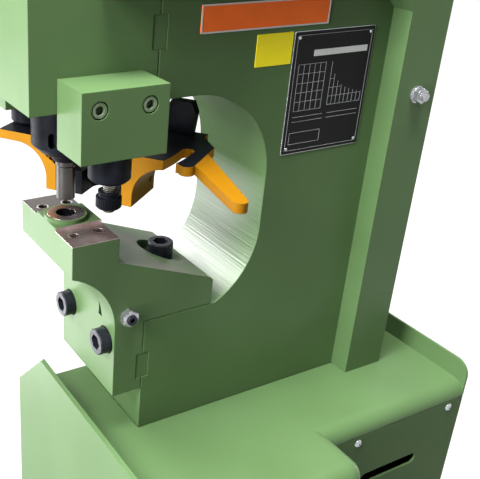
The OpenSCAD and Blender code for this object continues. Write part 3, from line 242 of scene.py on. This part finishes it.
class Finish:
    """One node material: its shader, and short calls that add the nodes a finish is built from."""

    def __init__(self, name, rough=0.5, metal=0.0):
        self.material = bpy.data.materials.new(name)
        self.material.use_nodes = True
        self.tree = self.material.node_tree
        self.shader = self.tree.nodes["Principled BSDF"]
        self.shader.inputs["Roughness"].default_value = rough
        self.shader.inputs["Metallic"].default_value = metal
        self.coords = self.tree.nodes.new("ShaderNodeTexCoord").outputs["Object"]

    def link(self, out, into):
        """Joins two sockets."""
        self.tree.links.new(out, into)

    def feed(self, socket, value):
        """Links a socket to another one, or sets it to a constant."""
        if isinstance(value, bpy.types.NodeSocket):
            self.link(value, socket)
        else:
            socket.default_value = value

    def set(self, **sockets):
        """Feeds the shader's sockets, named with underscores for blanks."""
        for name, value in sockets.items():
            self.feed(self.shader.inputs[name.replace("_", " ")], value)

    def noise(self, scale, detail=3.0, stretch=None):
        """Noise over the object's own coordinates, stretched along the axes if asked."""
        node = self.tree.nodes.new("ShaderNodeTexNoise")
        node.inputs["Scale"].default_value = scale
        node.inputs["Detail"].default_value = detail
        source = self.coords
        if stretch:
            mapping = self.tree.nodes.new("ShaderNodeMapping")
            mapping.inputs["Scale"].default_value = stretch
            self.link(source, mapping.inputs["Vector"])
            source = mapping.outputs["Vector"]
        self.link(source, node.inputs["Vector"])
        return node.outputs["Fac"]

    def ramp(self, value, low=0.3, high=0.7):
        """Zero at the low value, one at the high value and straight between them."""
        node = self.tree.nodes.new("ShaderNodeMapRange")
        node.inputs["From Min"].default_value = low
        node.inputs["From Max"].default_value = high
        self.link(value, node.inputs["Value"])
        return node.outputs["Result"]

    def cloud(self, scale, detail=3.0, low=0.3, high=0.75):
        """Noise with its contrast raised."""
        return self.ramp(self.noise(scale, detail), low, high)

    def calc(self, operation, first, second=0.0):
        """One step of arithmetic."""
        node = self.tree.nodes.new("ShaderNodeMath")
        node.operation = operation
        self.feed(node.inputs[0], first)
        self.feed(node.inputs[1], second)
        return node.outputs["Value"]

    def over(self, value, limit):
        """One where the value is above the limit, and zero elsewhere."""
        return self.calc("GREATER_THAN", value, limit)

    def under(self, value, limit):
        """One where the value is below the limit, and zero elsewhere."""
        return self.calc("LESS_THAN", value, limit)

    def both(self, first, *others):
        """Product of masks: one where all are one."""
        for other in others:
            first = self.calc("MULTIPLY", first, other)
        return first

    def squares(self, across, along):
        """Sum of two squares."""
        return self.calc("ADD", self.both(across, across), self.both(along, along))

    def mix(self, factor, first, second):
        """Colour between two colours."""
        node = self.tree.nodes.new("ShaderNodeMix")
        node.data_type = "RGBA"
        self.link(factor, node.inputs["Factor"])
        for socket, value in ((node.inputs[6], first), (node.inputs[7], second)):
            self.feed(socket, value if isinstance(value, bpy.types.NodeSocket) else (*value, 1.0))
        return node.outputs[2]

    def blend(self, factor, first, second):
        """Number between two numbers."""
        node = self.tree.nodes.new("ShaderNodeMix")
        self.link(factor, node.inputs["Factor"])
        self.feed(node.inputs[2], first)
        self.feed(node.inputs[3], second)
        return node.outputs[0]

    def part(self, vector, axis):
        """One part of a vector."""
        node = self.tree.nodes.new("ShaderNodeSeparateXYZ")
        self.link(vector, node.inputs["Vector"])
        return node.outputs[axis]

    def place(self, axis):
        """Place along an axis, in metres."""
        return self.part(self.coords, axis)

    def facing(self, axis):
        """Part of the face's normal along an axis."""
        return self.part(self.tree.nodes.new("ShaderNodeNewGeometry").outputs["True Normal"], axis)

    def soft_edges(self, radius):
        """Normal that rounds the edges by a radius."""
        node = self.tree.nodes.new("ShaderNodeBevel")
        node.samples = 4
        node.inputs["Radius"].default_value = radius
        return node.outputs["Normal"]

    def bump(self, height, strength, distance, normal=None):
        """Normal that follows a height, on top of another normal if there is one."""
        node = self.tree.nodes.new("ShaderNodeBump")
        node.inputs["Strength"].default_value = strength
        node.inputs["Distance"].default_value = distance
        self.link(height, node.inputs["Height"])
        if normal is not None:
            self.link(normal, node.inputs["Normal"])
        return node.outputs["Normal"]


def enamel_finish(name, edge, gloss=0.1, spread=0.082):
    """Green enamel: slow shifts of tone, roughness that wanders by the spread, a fine orange-peel skin and
    softened edges."""
    finish, _, _ = settings()
    made = Finish(name)
    colour = made.mix(made.cloud(7.0, 4.0, 0.35, 0.7), finish.enamel, finish.enamel_worn)
    normal = made.bump(made.noise(900.0, 2.0), 0.05, 0.0004, made.soft_edges(edge))
    low = 0.5 - finish.enamel_rough / spread
    rough = made.cloud(25.0, 3.0, low, low + 1 / spread)
    made.set(Base_Color=colour, Roughness=rough, Normal=normal, Specular_IOR_Level=gloss)
    return made, colour, normal


def plain_finish(name, colour, rough=0.35, gloss=0.2):
    """Printed sheet: one colour with slight clouding and a fine skin."""
    made = Finish(name, rough)
    made.set(Base_Color=made.mix(made.cloud(40.0), colour, shade(colour, 0.9)),
             Normal=made.bump(made.noise(1200.0, 2.0), 0.04, 0.0002), Specular_IOR_Level=gloss)
    return made.material


def put(material, names):
    """Gives the named solids one material."""
    for name in names:
        node = NODES[name]
        node.data.materials.clear()
        node.data.materials.append(material)


class PUNCH_OT_head(bpy.types.Operator):
    """Green enamel on the frame, block, brackets and keys, with tool marks on the throat's wall"""

    bl_idname = "punch.head"
    bl_label = "Head"
    # the throat ends this far in front of the frame's rear face and this far above the die
    throat_back = 0.12
    throat_high = 0.15
    # the throat's wall is rubbed bright from above the die to below it
    rub_from = 0.03
    rub_to = -0.04
    throat_gloss = 0.02
    frame_gloss = 0.1
    screw_rubbed = (0.20, 0.24, 0.17)

    def execute(self, context):
        made, _, _ = enamel_finish("head_enamel", 0.0012)
        put(made.material, ENAMEL_NODES)
        self.dress_frame()
        screw, colour, _ = enamel_finish("screw_enamel", 0.0006)
        screw.set(Base_Color=screw.mix(screw.cloud(90.0, 3.0, 0.35, 0.7), colour, self.screw_rubbed))
        put(screw.material, PAINTED_SCREW_NODES)
        return {"FINISHED"}

    def dress_frame(self):
        """Enamel of the frame. Tool marks run across it on the throat's faces, which don't look along X."""
        made, _, normal = enamel_finish("frame_enamel", 0.0015)
        throat = made.both(made.under(made.calc("ABSOLUTE", made.facing("X")), 0.5),
                           made.under(made.place("Y"), FRAME_HIGH.y - self.throat_back),
                           made.over(made.place("Z"), HOLDER_LOW.z),
                           made.under(made.place("Z"), DIE_Z + self.throat_high))
        marks = made.noise(1.0, 3.0, (4.0, 380.0, 380.0))
        rubbed = made.both(throat, made.ramp(made.place("Z"), DIE_Z + self.rub_from, DIE_Z + self.rub_to))
        gloss = made.blend(rubbed, made.blend(throat, self.frame_gloss, self.throat_gloss), 1.0)
        made.set(Normal=made.bump(made.both(marks, throat), 0.9, 0.0008, normal), Specular_IOR_Level=gloss)
        put(made.material, ("c_frame",))


class PUNCH_OT_die_holder(bpy.types.Operator):
    """Green enamel on the die holder, bare steel on its pads, bright rims at the holes and a slim dark
    triangle on its cove
    """

    bl_idname = "punch.die_holder"
    bl_label = "Die holder"
    # pads: depth below the die's top, where they start beside it, and slack for finding their faces
    pad_drop = 0.008
    mid_half = 0.024
    pad_slack = 0.0004
    side_slack = 0.0001
    # the pads' holes, from the punch axis, and how far down they are bare
    hole_x = 0.040
    hole_y = (-0.009, 0.020)
    hole_r = 0.0051
    hole_slack = 0.0003
    hole_deep = 0.04
    rim_w = 0.0016
    rim_h = 0.0003
    rim_rows = 5
    rim_cols = 28
    # the cove's circle and the dark triangle on it, from the punch axis and the die's top
    cove_r = 0.078
    cove_y = -0.049
    cove_z = -0.1185
    mark_x = 0.0305
    mark_w = 0.0078
    mark_z = (-0.1185, -0.1005)
    mark_rows = 9
    mark_tip = 0.02
    mark_depth = (-0.0002, 0.0004)
    tail_start = 0.045
    streak_share = 0.35
    ground_dark = (0.36, 0.27, 0.25)
    silver = (0.22, 0.205, 0.195)
    silver_dark = (0.14, 0.125, 0.12)
    tail_rubbed_and_sheen = (0.125, 0.118, 0.095)
    rim_light = (0.78, 0.78, 0.77)
    rim_dark = (0.66, 0.65, 0.64)
    mark_colour = (0.006, 0.01, 0.006)

    def execute(self, context):
        finish, _, _ = settings()
        made, colour, _ = enamel_finish("holder_enamel", 0.0012, 0.16)
        side = made.calc("ABSOLUTE", made.place("X"))
        pads = made.both(made.over(side, self.mid_half - self.side_slack),
                         made.over(made.place("Z"), DIE_Z - self.pad_drop - self.pad_slack))
        bare = made.calc("MAXIMUM", pads, self.in_hole(made, side))
        streak = made.noise(1.0, 4.0, (25.0, 900.0, 25.0))
        streaked = made.calc("ADD", made.calc("MULTIPLY", streak, self.streak_share), made.noise(45.0, 2.0))
        grain = made.ramp(streaked, 0.4, 0.95)
        near = made.ramp(made.place("X"), -self.mid_half, self.mid_half)
        steel = made.mix(near, made.mix(grain, self.silver, self.silver_dark),
                         made.mix(grain, finish.ground, self.ground_dark))
        # greyish patches on the tail's top: rubbed paint, and a painted sheen where it looks up
        rubbed = made.mix(self.on_tail(made), colour, self.tail_rubbed_and_sheen)
        made.set(Base_Color=made.mix(bare, rubbed, steel), Metallic=bare)
        put(made.material, ("die_holder",))
        bright = Finish("rim_steel", 0.2, 1.0)
        bright.set(Base_Color=bright.mix(bright.cloud(300.0, 2.0, 0.3, 0.7), self.rim_light, self.rim_dark))
        mesh_piece("pad_hole_rims", *self.rims(), bright.material, slot_name="bare_steel")
        mesh_piece("index_mark", *self.index_mark(), plain_finish("index_dark", self.mark_colour, 0.6, 0.03))
        return {"FINISHED"}

    def on_tail(self, made):
        """Up to one in cloudy patches on the tail's sloping top, where work rubs the paint and a painted
        sheen lies, and zero elsewhere.
        """
        return made.both(made.cloud(28.0, 4.0, 0.42, 0.68), made.over(made.facing("Z"), 0.5),
                         made.over(made.place("Y"), PUNCH_Y + self.tail_start))

    def in_hole(self, made, side):
        """One inside the pads' holes, by the distance from the nearest hole's axis, and zero elsewhere."""
        front, rear = self.hole_y
        along = made.calc("ABSOLUTE", made.calc("SUBTRACT", made.place("Y"), PUNCH_Y + (front + rear) / 2))
        square = made.squares(made.calc("SUBTRACT", side, self.hole_x),
                              made.calc("SUBTRACT", along, (rear - front) / 2))
        return made.both(made.under(square, (self.hole_r + self.hole_slack) ** 2),
                         made.over(made.place("Z"), DIE_Z - self.hole_deep))

    def rims(self):
        """Rims of the pads' holes: rings whose height is half a sine across their width."""
        across = np.linspace(0, 1, self.rim_rows)[:, None]
        turn = np.linspace(0, 2 * math.pi, self.rim_cols, endpoint=False)[None, :]
        ring = self.hole_r + across * self.rim_w
        lift = self.rim_h * np.sin(math.pi * across) + 0 * turn
        shapes = []
        for x in (-self.hole_x, self.hole_x):
            for y in self.hole_y:
                points = np.stack([x + ring * np.cos(turn), PUNCH_Y + y + ring * np.sin(turn),
                                   DIE_Z - self.pad_drop + lift], -1)
                shapes.append((points.reshape(-1, 3), grid_faces(self.rim_rows, self.rim_cols)))
        return join_shapes(shapes)

    def index_mark(self):
        """Slim triangle on the cove: Y follows the cove's circle with Z, and the width shrinks to a tip."""
        up = np.linspace(0, 1, self.mark_rows)
        low, high = self.mark_z
        z = low + up * (high - low)
        y = self.cove_y + np.sqrt(self.cove_r ** 2 - (z - self.cove_z) ** 2)
        half = self.mark_w / 2 * (1 + self.mark_tip - up)
        front, rear = self.mark_depth
        corners = ((-1, front), (1, front), (1, rear), (-1, rear))
        points = np.stack([np.column_stack([self.mark_x + side * half, PUNCH_Y + y + depth, DIE_Z + z])
                           for side, depth in corners], 1)
        faces = grid_faces(self.mark_rows, 4)
        top = 4 * (self.mark_rows - 1)
        faces += [[3, 2, 1, 0], [top, top + 1, top + 2, top + 3]]
        return points.reshape(-1, 3), faces


class PUNCH_OT_stripper(bpy.types.Operator):
    """Yellow enamel on the stripper, dark where the fork's faces look up"""

    bl_idname = "punch.stripper"
    bl_label = "Stripper"
    # the one yellow paint is brightened on the fork as painted light and darkened on the lever as painted
    # shade
    fork_painted_light = 1.35
    lever_painted_shade = 0.88

    def execute(self, context):
        put(self.yellow("stripper_yellow", self.fork_painted_light, True), ("stripper_fork",))
        put(self.yellow("lever_yellow", self.lever_painted_shade, False), ("stripper_lever",))
        return {"FINISHED"}

    def yellow(self, name, share, dark_tops):
        """Yellow enamel at a share of its tone, which paints light or shade into it, with slow shifts, and
        the oxide's dark colour where it looks up if asked.
        """
        finish, _, _ = settings()
        made = Finish(name, 0.38)
        base = shade(finish.yellow, share)
        colour = made.mix(made.cloud(18.0, 4.0), base, shade(base, 0.82))
        # faces that look up take the oxide's dark colour
        if dark_tops:
            colour = made.mix(made.over(made.facing("Z"), 0.8), colour, finish.oxide)
        normal = made.bump(made.noise(700.0, 2.0), 0.06, 0.0005, made.soft_edges(0.001))
        made.set(Base_Color=colour, Normal=normal, Specular_IOR_Level=0.06)
        return made.material


class PUNCH_OT_metal(bpy.types.Operator):
    """Blackened, bare, plated, cast and bronze metal"""

    bl_idname = "punch.metal"
    bl_label = "Metal parts"
    # each blackened finish: its solids, share of the oxide's tone, metallic share and gloss. The columns,
    # nuts, stop and insert take the darkest share, as painted shade where they sit under the head; the
    # screws take a lighter one
    oxides = {"black_oxide": (OXIDE_NODES, 1.0, 0.0, 0.03), "screw_oxide": (SCREW_NODES, 2.4, 0.25, 0.2)}
    oxide_worn = 2.2
    # two tones of each other metal
    steel = ((0.52, 0.51, 0.50), (0.40, 0.39, 0.385))
    zinc = ((0.42, 0.43, 0.45), (0.30, 0.31, 0.33))
    bronze = ((0.55, 0.34, 0.12), (0.42, 0.25, 0.09))
    cast = ((0.24, 0.25, 0.26), (0.31, 0.32, 0.33))

    def execute(self, context):
        finish, _, _ = settings()
        for name, (nodes, share, metal, gloss) in self.oxides.items():
            made = Finish(name, metal=metal)
            base = shade(finish.oxide, share)
            tone = made.cloud(60.0, 4.0, 0.35, 0.7)
            made.set(Base_Color=made.mix(tone, base, shade(base, self.oxide_worn)),
                     Roughness=made.cloud(200.0, 3.0, -0.4, 2.4), Normal=made.soft_edges(0.0008),
                     Specular_IOR_Level=gloss)
            put(made.material, nodes)
        made = Finish("turned_steel", 0.28, 1.0)
        grain = made.ramp(made.noise(1.0, 3.0, (60.0, 60.0, 1800.0)))
        made.set(Base_Color=made.mix(grain, *self.steel), Normal=made.bump(grain, 0.08, 0.0003))
        put(made.material, STEEL_NODES)
        made = Finish("zinc_plate", 0.25, 0.85)
        made.set(Base_Color=made.mix(made.cloud(140.0), *self.zinc), Normal=made.soft_edges(0.0005))
        put(made.material, ZINC_NODES)
        made = Finish("bearing_bronze", 0.34, 1.0)
        made.set(Base_Color=made.mix(made.cloud(90.0, 3.0, 0.3, 0.7), *self.bronze))
        put(made.material, ("rod_guide",))
        made = Finish("cast_grey", 0.55, 0.7)
        sand = made.noise(500.0)
        made.set(Base_Color=made.mix(made.ramp(sand), *self.cast),
                 Normal=made.bump(sand, 0.15, 0.0006, made.soft_edges(0.0015)))
        put(made.material, CAST_NODES)
        return {"FINISHED"}


class PUNCH_OT_tools(bpy.types.Operator):
    """Hardened steel of the punch, the clamping stud's thread with painted shade between its crests, and a
    painted reflection on the die from copper to violet
    """

    bl_idname = "punch.tools"
    bl_label = "Punch and die"
    pitch = 0.00175
    # the die's bore, with a little of its edge, as a share of the die's radius
    bore_share = 0.64
    # painted shade: the thread's roots are dark between its steel crests
    groove_shade = (0.05, 0.045, 0.04)
    crest = (0.34, 0.32, 0.29)
    # painted reflection: the die's top goes from copper on one side to violet on the other
    copper = (0.46, 0.22, 0.13)
    violet = (0.62, 0.56, 0.62)
    die_dark = (0.27, 0.235, 0.21)
    # painted shade: the bore's wall is darkened, where shade falls inside the hole
    bore_shade = (0.06, 0.055, 0.065)

    def execute(self, context):
        finish, _, _ = settings()
        punch = Finish("punch_steel", 0.3, 0.9)
        punch.set(Base_Color=punch.mix(punch.cloud(45.0), finish.tool, shade(finish.tool, 0.7)),
                  Normal=punch.soft_edges(0.0006))
        put(punch.material, ("punch",))
        stud = Finish("threaded_steel", 0.34, 1.0)
        # painted shade in the thread's roots, following the thread's pitch
        turns = stud.calc("SINE", stud.calc("MULTIPLY", stud.place("Z"), 2 * math.pi / self.pitch))
        thread = stud.ramp(turns, -0.6, 0.6)
        stud.set(Base_Color=stud.mix(thread, self.groove_shade, self.crest), Normal=stud.bump(thread, 0.8, 0.0008))
        put(stud.material, ("clamp_stud",))
        die = Finish("die_steel", 0.26, 0.95)
        # painted reflection: copper to violet across the die, by its X
        reflection_tint = die.mix(die.ramp(die.place("X"), DIE_LOW.x, DIE_HIGH.x), self.copper, self.violet)
        ring = die.mix(die.cloud(120.0), reflection_tint, self.die_dark)
        # painted shade on the bore's wall, whose faces don't look up
        bore = die.both(die.under(die.facing("Z"), 0.5), self.in_bore(die))
        die.set(Base_Color=die.mix(bore, ring, self.bore_shade), Normal=die.soft_edges(0.0008))
        put(die.material, ("die",))
        return {"FINISHED"}

    def in_bore(self, die):
        """One within the bore's share of the die's radius from its axis, and zero outside."""
        square = die.squares(die.calc("SUBTRACT", die.place("X"), (DIE_LOW.x + DIE_HIGH.x) / 2),
                             die.calc("SUBTRACT", die.place("Y"), PUNCH_Y))
        return die.under(square, (self.bore_share * (DIE_HIGH.x - DIE_LOW.x) / 2) ** 2)


class PUNCH_OT_cabinet(bpy.types.Operator):
    """Green enamel on folded sheet, dark paint on base and tank, plastic and rubber parts"""

    bl_idname = "punch.cabinet"
    bl_label = "Cabinet"
    sheet_gloss = 0.03
    table_gloss = 0.15
    tank_tones = ((0.06, 0.065, 0.07), (0.085, 0.09, 0.095))
    # each moulded finish: its colour, roughness and solids
    moulded = {
        "black_plastic": ((0.02, 0.02, 0.022), 0.5, BLACK_PLASTIC_NODES),
        "grey_plastic": ((0.36, 0.37, 0.36), 0.5, ("control_box",)),
        "red_plastic": ((0.46, 0.02, 0.015), 0.3, ("main_switch",)),
        "seal_rubber": ((0.015, 0.015, 0.017), 0.7, SEAL_NODES),
    }

    def execute(self, context):
        sheet, _, _ = enamel_finish("sheet_enamel", 0.0008, self.sheet_gloss)
        put(sheet.material, SHEET_NODES)
        table, _, _ = enamel_finish("table_enamel", 0.0008, self.table_gloss)
        put(table.material, TABLE_NODES)
        tank = Finish("tank_paint", 0.5)
        tank.set(Base_Color=tank.mix(tank.cloud(14.0, 4.0), *self.tank_tones),
                 Normal=tank.bump(tank.noise(600.0, 2.0), 0.08, 0.0004, tank.soft_edges(0.001)))
        put(tank.material, TANK_NODES)
        for name, (colour, rough, nodes) in self.moulded.items():
            made = Finish(name, rough)
            grain = made.noise(800.0, 2.0)
            made.set(Base_Color=made.mix(made.ramp(grain), colour, shade(colour, 1.25)),
                     Normal=made.bump(grain, 0.12, 0.0003, made.soft_edges(0.0008)))
            put(made.material, nodes)
        return {"FINISHED"}


class PUNCH_OT_plates(bpy.types.Operator):
    """Plates on the frame's side: a wide orange one, a small yellow one and a riveted black one"""

    bl_idname = "punch.plates"
    bl_label = "Side plates"
    # each plate: front and rear edge behind the punch axis, lower and upper edge above the die
    orange_box = (0.111, 0.273, 0.1947, 0.2228)
    yellow_box = (0.1815, 0.2285, 0.1554, 0.189)
    black_box = (0.231, 0.343, 0.053, 0.188)
    border_w = 0.0016
    rivet_inset = 0.006
    frame_inset = 0.0035
    back_edge = 0.0008
    back_share = 0.6
    bar_h = 0.0002
    # boxes on the black plate in shares of its width and height: left, right, low, high
    table_box = (0.08, 0.42, 0.36, 0.74)
    chart_box = (0.50, 0.93, 0.38, 0.74)
    empty_box = (0.07, 0.46, 0.08, 0.18)
    field_box = (0.25, 0.93, 0.80, 0.85)
    rule_spans = ((0.08, 0.46), (0.52, 0.92))
    rule_heights = (0.31, 0.27)
    grid_lines = 6
    chart_columns = 9
    chart_fall = 0.3
    black = (0.006, 0.006, 0.0065)
    pale = (0.62, 0.63, 0.62)
    grey = (0.30, 0.31, 0.31)

    def execute(self, context):
        finish, plates, _ = settings()
        thick, radius = plates.plate_t, plates.corner_r
        orange = plain_finish("plate_orange", finish.orange)
        yellow = plain_finish("plate_yellow", finish.label_yellow)
        black = plain_finish("plate_black", self.black, 0.5, 0.1)
        pale = plain_finish("plate_fields", self.pale, 0.4)
        grey = plain_finish("plate_lines", self.grey, 0.4, 0.1)
        zinc = bpy.data.materials["zinc_plate"]
        mesh_piece("wide_plate", *self.slab(self.orange_box, radius, thick), orange, smooth=False)
        mesh_piece("wide_plate_border", *self.border(plates), pale, smooth=False)
        mesh_piece("square_plate", *self.slab(self.yellow_box, radius / 2, thick / 2), yellow, smooth=False)
        back = self.slab(self.inset_box(-self.back_edge), radius, self.back_share * thick)
        mesh_piece("data_plate_back", *back, zinc, slot_name="zinc", smooth=False)
        mesh_piece("data_plate", *self.slab(self.black_box, radius, thick), black, smooth=False)
        mesh_piece("data_plate_lines", *self.lines(plates), grey, smooth=False)
        field = self.bars([self.on_plate(*self.field_box)], plates)
        mesh_piece("data_plate_fields", *field, pale, smooth=False)
        mesh_piece("data_plate_rivets", *self.rivets(plates), zinc, slot_name="zinc")
        return {"FINISHED"}

    def slab(self, box, radius, thick, base=SIDE_X):
        """Slab with rounded corners over a box on the frame's side."""
        y0, y1, z0, z1 = box
        outline = rounded_outline(y1 - y0, z1 - z0, radius)
        return side_slab(outline, PUNCH_Y + (y0 + y1) / 2, DIE_Z + (z0 + z1) / 2, base, thick)

    def bars(self, boxes, plates):
        """Thin raised bars on a plate, one for each box."""
        return join_shapes([self.slab(box, min(box[1] - box[0], box[3] - box[2]) / 8, self.bar_h,
                                      SIDE_X + plates.plate_t) for box in boxes])

    def border(self, plates):
        """Pale border round the wide plate."""
        y0, y1, z0, z1 = self.orange_box
        wide = self.border_w
        low, high = z0 + wide, z1 - wide
        return self.bars([(y0, y1, z0, low), (y0, y1, high, z1), (y0, y0 + wide, low, high),
                          (y1 - wide, y1, low, high)], plates)

    def inset_box(self, inset):
        """The black plate's box, drawn in on all sides."""
        y0, y1, z0, z1 = self.black_box
        return y0 + inset, y1 - inset, z0 + inset, z1 - inset

    def on_plate(self, left, right, low, high):
        """A box on the black plate from shares of its width and height."""
        y0, y1, z0, z1 = self.black_box
        return y0 + left * (y1 - y0), y0 + right * (y1 - y0), z0 + low * (z1 - z0), z0 + high * (z1 - z0)

    def outline(self, box, wide):
        """Four thin bars along the edges of a box."""
        y0, y1, z0, z1 = box
        return [(y0, y1, z0, z0 + wide), (y0, y1, z1 - wide, z1), (y0, y0 + wide, z0, z1),
                (y1 - wide, y1, z0, z1)]

    def lines(self, plates):
        """Plain ruled lines: a border, a table of empty cells, a blank chart whose columns fall as one over
        their distance, rules and an empty box."""
        wide = plates.line_w
        bars = self.outline(self.inset_box(self.frame_inset), wide)
        left, right, low, high = self.on_plate(*self.table_box)
        bars += [(y, y + wide, low, high) for y in np.linspace(left, right, self.grid_lines)]
        bars += [(left, right + wide, z, z + wide) for z in np.linspace(low, high, self.grid_lines)]
        left, right, low, high = self.on_plate(*self.chart_box)
        share = np.linspace(0, 1, self.chart_columns)
        tops = low + (high - low) * self.chart_fall / (self.chart_fall + share)
        places = left + share * (right - left)
        bars += [(y, y + wide, low, top) for y, top in zip(places, tops)]
        for level in np.linspace(low, high, self.grid_lines)[:-1]:
            bars.append((left, max(places[tops >= level].max(), left + 2 * wide), level, level + wide))
        for height in self.rule_heights:
            for start, end in self.rule_spans:
                left, right, low, _ = self.on_plate(start, end, height, height)
                bars.append((left, right, low, low + wide))
        bars += self.outline(self.on_plate(*self.empty_box), wide)
        return self.bars(bars, plates)

    def rivets(self, plates):
        """Domed rivets in the black plate's corners."""
        y0, y1, z0, z1 = self.inset_box(self.rivet_inset)
        return join_shapes([side_dome(PUNCH_Y + y, DIE_Z + z, SIDE_X + plates.plate_t, plates.rivet_d / 2,
                                      plates.rivet_d / 4) for y in (y0, y1) for z in (z0, z1)])


class PUNCH_OT_stage(bpy.types.Operator):
    """Pale floor, white background, soft lamps and the camera"""

    bl_idname = "punch.stage"
    bl_label = "Stage"
    floor_reach = 12.0
    floor_lit = 0.05
    # the floor glows white to the camera far off, and a little less near the machine, where its shadow lies
    white_from = 0.9
    white_to = 2.6
    near_white = 0.8
    pale = 0.15
    # each lamp: name, place and size; its power is the setting of that name
    lamps = (
        ("high", (0.45, -2.4, 2.7), 1.2),
        ("top", (0.22, -0.5, 3.7), 1.5),
        ("front", (0.5, -3.3, 1.1), 1.8),
        ("right", (1.6, 0.3, 2.3), 1.2),
        ("left", (-1.5, -0.85, 1.6), 0.8),
        ("low", (-0.95, -0.95, 0.38), 1.0),
        ("rear", (-0.5, 3.0, 0.9), 2.0),
    )
    lamp_aim = (0.0, PUNCH_Y, DIE_Z)
    sensor = 36
    shift = (0.25, -0.03)

    def execute(self, context):
        _, _, stage = settings()
        context.scene.view_settings.view_transform = "Standard"
        self.floor()
        self.world(stage.ambient)
        for name, place, size in self.lamps:
            self.lamp(name + "_lamp", place, size, getattr(stage, name + "_power"))
        self.camera(stage)
        return {"FINISHED"}

    def to_camera(self, tree, lit, seen):
        """The seen shader for the camera, mirrors and glass, and the lit shader for everything else."""
        paths = tree.nodes.new("ShaderNodeLightPath")
        share = paths.outputs["Is Camera Ray"]
        for kind in ("Is Glossy Ray", "Is Transmission Ray"):
            either = tree.nodes.new("ShaderNodeMath")
            either.operation = "MAXIMUM"
            tree.links.new(share, either.inputs[0])
            tree.links.new(paths.outputs[kind], either.inputs[1])
            share = either.outputs["Value"]
        mix = tree.nodes.new("ShaderNodeMixShader")
        for out, into in zip((share, lit, seen), mix.inputs):
            tree.links.new(out, into)
        return mix.outputs[0]

    def floor(self):
        """Pale floor that takes the machine's shadow and turns to the background's white far off."""
        reach = self.floor_reach
        mesh = bpy.data.meshes.new("floor")
        corners = [(-reach, -reach, 0), (reach, -reach, 0), (reach, reach, 0), (-reach, reach, 0)]
        mesh.from_pydata(corners, [], [[0, 1, 2, 3]])
        floor = bpy.data.objects.new("floor", mesh)
        bpy.context.scene.collection.objects.link(floor)
        made = Finish("pale_floor", 0.9)
        made.set(Base_Color=(*(self.floor_lit,) * 3, 1.0))
        nodes = made.tree.nodes
        square = made.squares(made.place("X"), made.place("Y"))
        far = made.ramp(square, self.white_from ** 2, self.white_to ** 2)
        glow = nodes.new("ShaderNodeEmission")
        made.link(made.blend(far, self.near_white, 1.0), glow.inputs["Strength"])
        pale = nodes.new("ShaderNodeBsdfDiffuse")
        pale.inputs["Color"].default_value = (*(self.pale,) * 3, 1.0)
        seen = nodes.new("ShaderNodeAddShader")
        made.link(glow.outputs[0], seen.inputs[0])
        made.link(pale.outputs[0], seen.inputs[1])
        surface = self.to_camera(made.tree, made.shader.outputs[0], seen.outputs[0])
        made.link(surface, nodes["Material Output"].inputs["Surface"])
        mesh.materials.append(made.material)

    def world(self, ambient):
        """White background, and weak light from all round."""
        world = bpy.data.worlds.new("studio")
        bpy.context.scene.world = world
        world.use_nodes = True
        tree = world.node_tree
        lit, white = tree.nodes["Background"], tree.nodes.new("ShaderNodeBackground")
        for node, strength in ((lit, ambient), (white, 1.0)):
            node.inputs["Color"].default_value = (1.0, 1.0, 1.0, 1.0)
            node.inputs["Strength"].default_value = strength
        surface = self.to_camera(tree, lit.outputs[0], white.outputs[0])
        tree.links.new(surface, tree.nodes["World Output"].inputs["Surface"])

    def lamp(self, name, place, size, power):
        """Square area lamp that looks at the die."""
        data = bpy.data.lights.new(name, "AREA")
        data.size = size
        data.energy = power
        lamp = bpy.data.objects.new(name, data)
        bpy.context.scene.collection.objects.link(lamp)
        direction = (Vector(self.lamp_aim) - Vector(place)).normalized()
        lamp.rotation_euler = direction.to_track_quat("-Z", "Y").to_euler()
        lamp.location = place

    def camera(self, stage):
        """Camera that sees what the photograph shows."""
        data = bpy.data.cameras.new("camera")
        data.sensor_width = self.sensor
        data.lens = stage.focal
        data.shift_x, data.shift_y = self.shift
        camera = bpy.data.objects.new("camera", data)
        bpy.context.scene.collection.objects.link(camera)
        camera.location = stage.camera_place
        camera.rotation_euler = stage.camera_turn
        bpy.context.scene.camera = camera


class PUNCH_PT_sidebar(bpy.types.Panel):
    """Lists the punch's settings and pieces in the 3D view's sidebar"""

    bl_label = "Hydraulic Hole Punch"
    bl_idname = "PUNCH_PT_sidebar"
    bl_space_type = "VIEW_3D"
    bl_region_type = "UI"
    bl_category = "Punch"

    def draw(self, context):
        for group in settings():
            for name in group.bl_rna.properties.keys():
                if name not in ("rna_type", "name"):
                    self.layout.prop(group, name)
        for operator in OPERATORS:
            self.layout.operator(operator.bl_idname)


GROUPS = (PunchFinish, PunchPlates, PunchStage)
OPERATORS = (PUNCH_OT_head, PUNCH_OT_die_holder, PUNCH_OT_stripper, PUNCH_OT_metal, PUNCH_OT_tools,
             PUNCH_OT_cabinet, PUNCH_OT_plates, PUNCH_OT_stage)
CLASSES = (*GROUPS, *OPERATORS, PUNCH_PT_sidebar)


def register():
    for cls in CLASSES:
        bpy.utils.register_class(cls)
    bpy.types.Scene.punch_finish = bpy.props.PointerProperty(type=PunchFinish)
    bpy.types.Scene.punch_plates = bpy.props.PointerProperty(type=PunchPlates)
    bpy.types.Scene.punch_stage = bpy.props.PointerProperty(type=PunchStage)


def unregister():
    del bpy.types.Scene.punch_stage
    del bpy.types.Scene.punch_plates
    del bpy.types.Scene.punch_finish
    for cls in reversed(CLASSES):
        bpy.utils.unregister_class(cls)


def main():
    """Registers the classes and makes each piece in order."""
    register()
    for operator in OPERATORS:
        group, name = operator.bl_idname.split(".")
        getattr(getattr(bpy.ops, group), name)()


if __name__ == "__main__":
    main()
